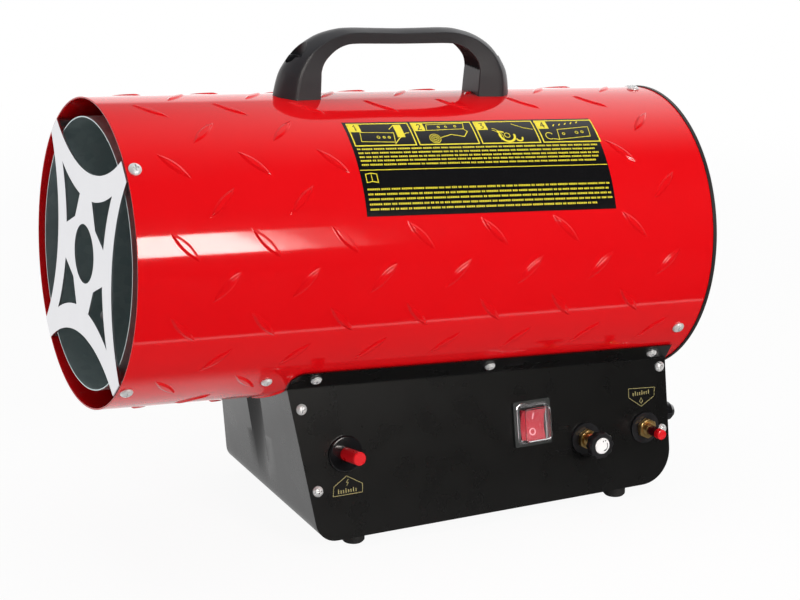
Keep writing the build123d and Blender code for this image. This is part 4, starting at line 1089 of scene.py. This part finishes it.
bezel = [(5, -48), (5, -42), (9, -42), (9, 0.05), (13.6, 0.05), (13.6, 1.0), (13.3, 1.7), (12.6, 2.2),
         (12.2, 2.25), (7.0, 2.6), (6.7, 2.6), (5.3, 2.6), (5.05, 2.35), (5.05, -16)]
piece("igniter_bezel", *turned(igniter_seat, bezel), "gloss_black", replaced=["igniter_body"])
thread = [(4.85 - 0.35 * (i % 2), 6.8 + 0.4 * i) for i in range(10)]
for name, seat, body, top in (
        ("regulator", regulator_seat, [(10, -36), (14, -32), (14, -10), (8, -6), (5.2, -6)],
         [(4.7, 11.0), (4.7, 13.2), (4.4, 13.6), (3.05, 13.6), (3.05, -8)]),
        ("valve", valve_seat, [(8, -34), (11, -30), (11, -8), (8, -5), (5.2, -5)],
         [(4.7, 10.5), (3.85, 10.5), (3.85, -16)])):
    neck = body + [(5.2, 1.0), (4.85, 1.4)] + thread + top
    piece(name + "_neck", *turned(seat, neck), "brass", replaced=[name + "_body"])
nut = [(4.9, 2.2), (6.6, 2.2), (7.2, 2.5), (8.2, 3.1), (8.2, 5.5), (7.7, 6.0), (7.2, 6.3), (6.6, 6.6),
       (4.9, 6.6)]
nut_points, nut_faces = [], []
for seat, twist in ((regulator_seat, 0), (valve_seat, 3)):
    twisted = seat @ Matrix.Rotation(radians(twist), 4, "Z")
    more_points, more_faces = turned(twisted, nut, held=hexagonal, ring=True)
    nut_faces += [tuple(corner + len(nut_points) for corner in face) for face in more_faces]
    nut_points += more_points
piece("brass_nuts", nut_points, nut_faces, "brass", replaced=["control_nuts"], crisp=25)

# %% Knob and valve button
knob = [(3.0, -6), (3.0, 14.2), (4.4, 14.2), (4.4, 18.2), (9.4, 18.2), (10.3, 18.7), (10.6, 19.6),
        (10.6, 23.4), (10.3, 24.5), (9.5, 25.2), (6.2, 25.2), (6.2, 23.8)]
piece("lobed_knob", *turned(regulator_seat, knob, 120, lobed), "knob_black", "regulator_knob",
      ["regulator_knob"])
# The stem takes the button's red made far darker, which is painted shade.
piece("valve_stem", *turned(valve_seat, [(3.75, -9), (3.75, 20.4)]), "stem_red", "valve_button",
      ["valve_button"], slot="red_button")
tip = [(3.75, 20.4), (4.1, 20.7), (4.1, 24.7), (3.8, 25.3), (3.1, 25.6)]
piece("valve_tip", *turned(valve_seat, tip), "red_button", "valve_button")

turn_sign = Drawing(on_seat(regulator_seat), 25.8, 25.86)
turn_sign.arc(0, 0, 4.3, -62, 28, 0.5)
turn_sign.line([(0.9, -3.3), (1.7, -4.0), (2.2, -2.9)], 0.4)
for x, y in ((0.3, 3.1), (2.2, 3.4)):
    turn_sign.line([(x, y), (x + 0.5, y + 0.9)], 0.75)
turn_sign.finish("turn_sign", "panel_film", "gloss_black", "regulator_knob")

# %% [markdown]
# The switch has a clear splash cover over its rocker. The cover is a cup: its rows climb down the
# outside and back up the inside. The rocker's two signs follow the shallow valley of its face.

# %% Switch
switch_seat = side_seat(*SWITCH)


def rounded_row(half_x, half_y, corner, height):
    """Closed row of points round a rectangle with round corners."""
    row = []
    for quarter, (side_x, side_y) in enumerate(((1, 1), (-1, 1), (-1, -1), (1, -1))):
        for i in range(7):
            turn = pi / 2 * (quarter + i / 6)
            row.append(on_seat(switch_seat)(side_x * (half_x - corner) + corner * cos(turn),
                                            side_y * (half_y - corner) + corner * sin(turn), height))
    return row


CUP = [(9.6, 11.6, 1.6, 12.3), (10.6, 12.6, 2.2, 12.1), (11.2, 13.2, 2.6, 11.4), (11.9, 13.9, 2.8, 3.2),
       (13.0, 15.0, 2.8, 3.0), (13.0, 15.0, 2.8, 2.3), (10.9, 12.9, 2.0, 2.3), (10.3, 12.3, 2.0, 10.8),
       (9.6, 11.6, 1.6, 11.4)]
piece("splash_cover", *skinned([rounded_row(*row) for row in CUP]), "clear_cover",
      replaced=["switch_cover"])

PIVOT_DEEP, ROCKED = 3.0, 7.0            # mm below the side's face, and degrees
rocker_seat = switch_seat @ Matrix.Translation((0, 0, -PIVOT_DEEP * MM))
rocker_seat = rocker_seat @ Matrix.Rotation(radians(ROCKED), 4, "X")
VALLEY_R = 23.73         # of the hollow in the rocker's face
ROCKER_HIGH = 5.0        # from its pivot to the bottom of that hollow


def on_rocker(x, y, height):
    valley = VALLEY_R - sqrt(VALLEY_R ** 2 - y * y)
    return on_seat(rocker_seat)(x, y, ROCKER_HIGH + valley + height)


TAG_HEIGHTS = (0.02, 0.12)
signs = Drawing(on_rocker, *TAG_HEIGHTS)
signs.bar(-0.6, 3.2, 1.2, 5.2, 1.0)
signs.arc(0, -6.2, 2.2, 0, 360, 0.9, 20)
signs.finish("rocker_signs", "mark_pink", "white_cap", "rocker")

# %% [markdown]
# Two thin printed tags point at the igniter and at the safety valve. Each has a frame, a few blocks
# in place of a word, and a sign: a spark, and a flame.

# %% Tags
spark_tag = Drawing(on_seat(igniter_seat), *TAG_HEIGHTS)
spark_tag.line([(-12.1, -30.0), (11.4, -30.0), (11.9, -23.6), (-0.3, -16.3), (-11.0, -22.9)], 0.45, True)
spark_tag.line([(0.9, -18.8), (-0.9, -21.0), (0.7, -21.2), (-0.9, -23.6)], 0.45)
flame_tag = Drawing(on_seat(side_seat(*VALVE)), *TAG_HEIGHTS)
flame_tag.line([(-12.2, 31.6), (11.5, 29.8), (10.4, 22.9), (-1.5, 16.5), (-12.3, 24.6)], 0.45, True)
flame_tag.line([(-1.4, 18.8), (-2.7, 20.6), (-1.2, 23.2), (0.1, 20.6)], 0.45, True)
for i in range(8):
    spark_tag.bar(-8.0 + 2.0 * i, -28.6, 0.8, 2.4 + 0.9 * (i % 3 == 0))
    flame_tag.bar(-8.6 + 2.0 * i, 25.4, 0.8, 2.4 + 0.9 * (i % 3 == 1))
spark_tag.finish("spark_tag", "gold_ink", "brass")
flame_tag.finish("flame_tag", "gold_ink", "brass")

# %% [markdown]
# ## Light and floor
# Glossy enamel shows its surroundings, so most of its look is the studio. One strong softbox in
# front makes the white band near the outlet, and two dim strips beside it soften the band's end.
# The fill lamps only brighten: they are hidden from reflections, which would show them as squares.

# %% Lamps
def softbox(name, middle, target, width, height, watts, mirrored=False, tint=(1.0, 1.0, 1.0)):
    """Rectangular lamp that faces a point."""
    data = bpy.data.lights.new(name, "AREA")
    data.shape = "RECTANGLE"
    data.size, data.size_y, data.energy, data.color = width, height, watts, tint
    lamp = linked(name, data)
    lamp.location = middle
    lamp.rotation_euler = (Vector(target) - Vector(middle)).to_track_quat("-Z", "Y").to_euler()
    lamp.visible_glossy = mirrored


WARM = (1.0, 0.955, 0.90)
FRONT_BOX = Vector((0.277, -1.643, 0.6957))
BOX_AIM = Vector((-0.225, -0.023, 0.2078))
SIDEWAYS = Vector((0.9567, 0.289, -0.0234))
for name, shift, width, watts in (
        ("front_softbox", 0.025, 0.47, 13.4), ("softbox_edge", 0.29, 0.06, 0.42),
        ("softbox_rim", 0.36, 0.08, 0.13)):
    middle, aim = (point + SIDEWAYS * shift for point in (FRONT_BOX, BOX_AIM))
    softbox(name, middle, aim, width, 0.42, watts, True, WARM)
for name, middle, width, height, watts in (
        ("front_fill", (0.5, -1.9, 1.0), 1.0, 0.8, 7), ("top_fill", (0.1, 0.1, 1.75), 1.6, 1.0, 17),
        ("left_fill", (-2.2, -0.5, 1.0), 1.4, 1.2, 9), ("right_fill", (1.9, -1.5, 1.1), 1.2, 1.2, 5)):
    softbox(name, middle, (0, 0, 0.2), width, height, watts)
print("lamps are placed")

# %% [markdown]
# The room is white behind the heater and dark in front of it. Reflections need both: the white
# part pales the top of the tube, and the dark part keeps its side a deep red.

# %% Room
def outputs(graph, kind, names, inputs=None):
    """Some of the outputs of one node."""
    made = graph.node(kind, None, inputs).socket.node
    return [Wire(graph, made.outputs[name]) for name in names]


def kinds_of_ray(graph):
    """1 for rays that are seen directly or through something clear, and 1 for mirrored ones."""
    kinds = ["Is Camera Ray", "Is Transmission Ray", "Is Glossy Ray"]
    direct, through_clear, mirrored = outputs(graph, "ShaderNodeLightPath", kinds)
    return direct.or_more(through_clear), mirrored


world = bpy.data.worlds.new("studio")
world.use_nodes = True
bpy.context.scene.world = world
sky = Graph(world.node_tree)
direction = sky.node("ShaderNodeTexCoord", output=0)
toward_x, toward_y, upward = outputs(sky, "ShaderNodeSeparateXYZ", "XYZ", {0: direction})
AMBIENT = 0.26           # what the room gives to surfaces that don't mirror it
behind = spread(sky, toward_y, -0.30, 0.55)
low_wall = spread(sky, toward_y, 0.0, 0.3) * (1 - spread(sky, upward, 0.30, 0.46))
ceiling = behind * (0.40 + spread(sky, toward_x, 0.34, 0.60))
mirrored_room = (0.015 + ceiling).or_more(1.35 * low_wall)
seen, reflected = kinds_of_ray(sky)
strength = (1 - seen.or_more(reflected)) * AMBIENT + seen + reflected * mirrored_room
backdrop = sky.node("ShaderNodeBackground", None, {"Color": colour(1, 1, 1), "Strength": strength})
sky.node("ShaderNodeOutputWorld", None, {"Surface": backdrop})
print("the room gives", AMBIENT, "to surfaces that don't mirror it")

# %% [markdown]
# The table is white to the camera, with a faint shadow of the heater. In reflections it is not lit
# but glows with painted light and shade: dim in front, bright behind, a painted pool of light on the
# left just in front, and a painted highlight as a pale line at its front edge.

# %% Table
TABLE_EDGE = -0.235      # its front edge
table = new_material("pale_table")
along_x, depth = outputs(table, "ShaderNodeSeparateXYZ", "XY", {0: place(table)})
on_table = depth > TABLE_EDGE
# Painted light and shade that only reflections see: a painted highlight along the front edge, painted
# light behind the heater, and a painted pool of light on its left just in front.
painted_edge_highlight = on_table * (depth < TABLE_EDGE + 0.010)
left_part = spread(table, 0 - along_x, 0.02, 0.12)
behind_it = spread(table, depth, -0.02, 0.22) * (1 - 0.35 * left_part)
painted_pool_beside = 0.50 * left_part * spread(table, depth, -0.10, -0.04)
painted_glow = 0.16 + 1.4 * behind_it.or_more(painted_pool_beside) + 1.3 * painted_edge_highlight
far = spread(table, along_x * along_x + depth * depth, 0.2, 2.2)
seen, reflected = kinds_of_ray(table)
matt = table.node("ShaderNodeBsdfDiffuse", None, {"Color": colour(0.80, 0.80, 0.80)})
BRIGHTEST = 4.0          # more than the table ever shows, so that its colour can hold the pattern
level = (seen + reflected * on_table * painted_glow) * (1 / BRIGHTEST)
shown = table.blend(level, colour(0, 0, 0), colour(1, 1, 1))
glow = table.node("ShaderNodeEmission", None, {"Color": shown, "Strength": BRIGHTEST})
share = seen * (0.93 + 0.07 * far) + reflected
surface = table.node("ShaderNodeMixShader", None, {0: share, 1: matt, 2: glow})
table.node("ShaderNodeOutputMaterial", None, {"Surface": surface})

bpy.ops.mesh.primitive_plane_add(size=14)
floor = bpy.context.object
floor.name = "pale_table"
floor.location = (0, 0, -0.0002)
floor.data.materials.append(MATERIALS["pale_table"])
print("studio is lit")

# %% [markdown]
# ## Finish

# %% Finish
print("the heater is dressed")
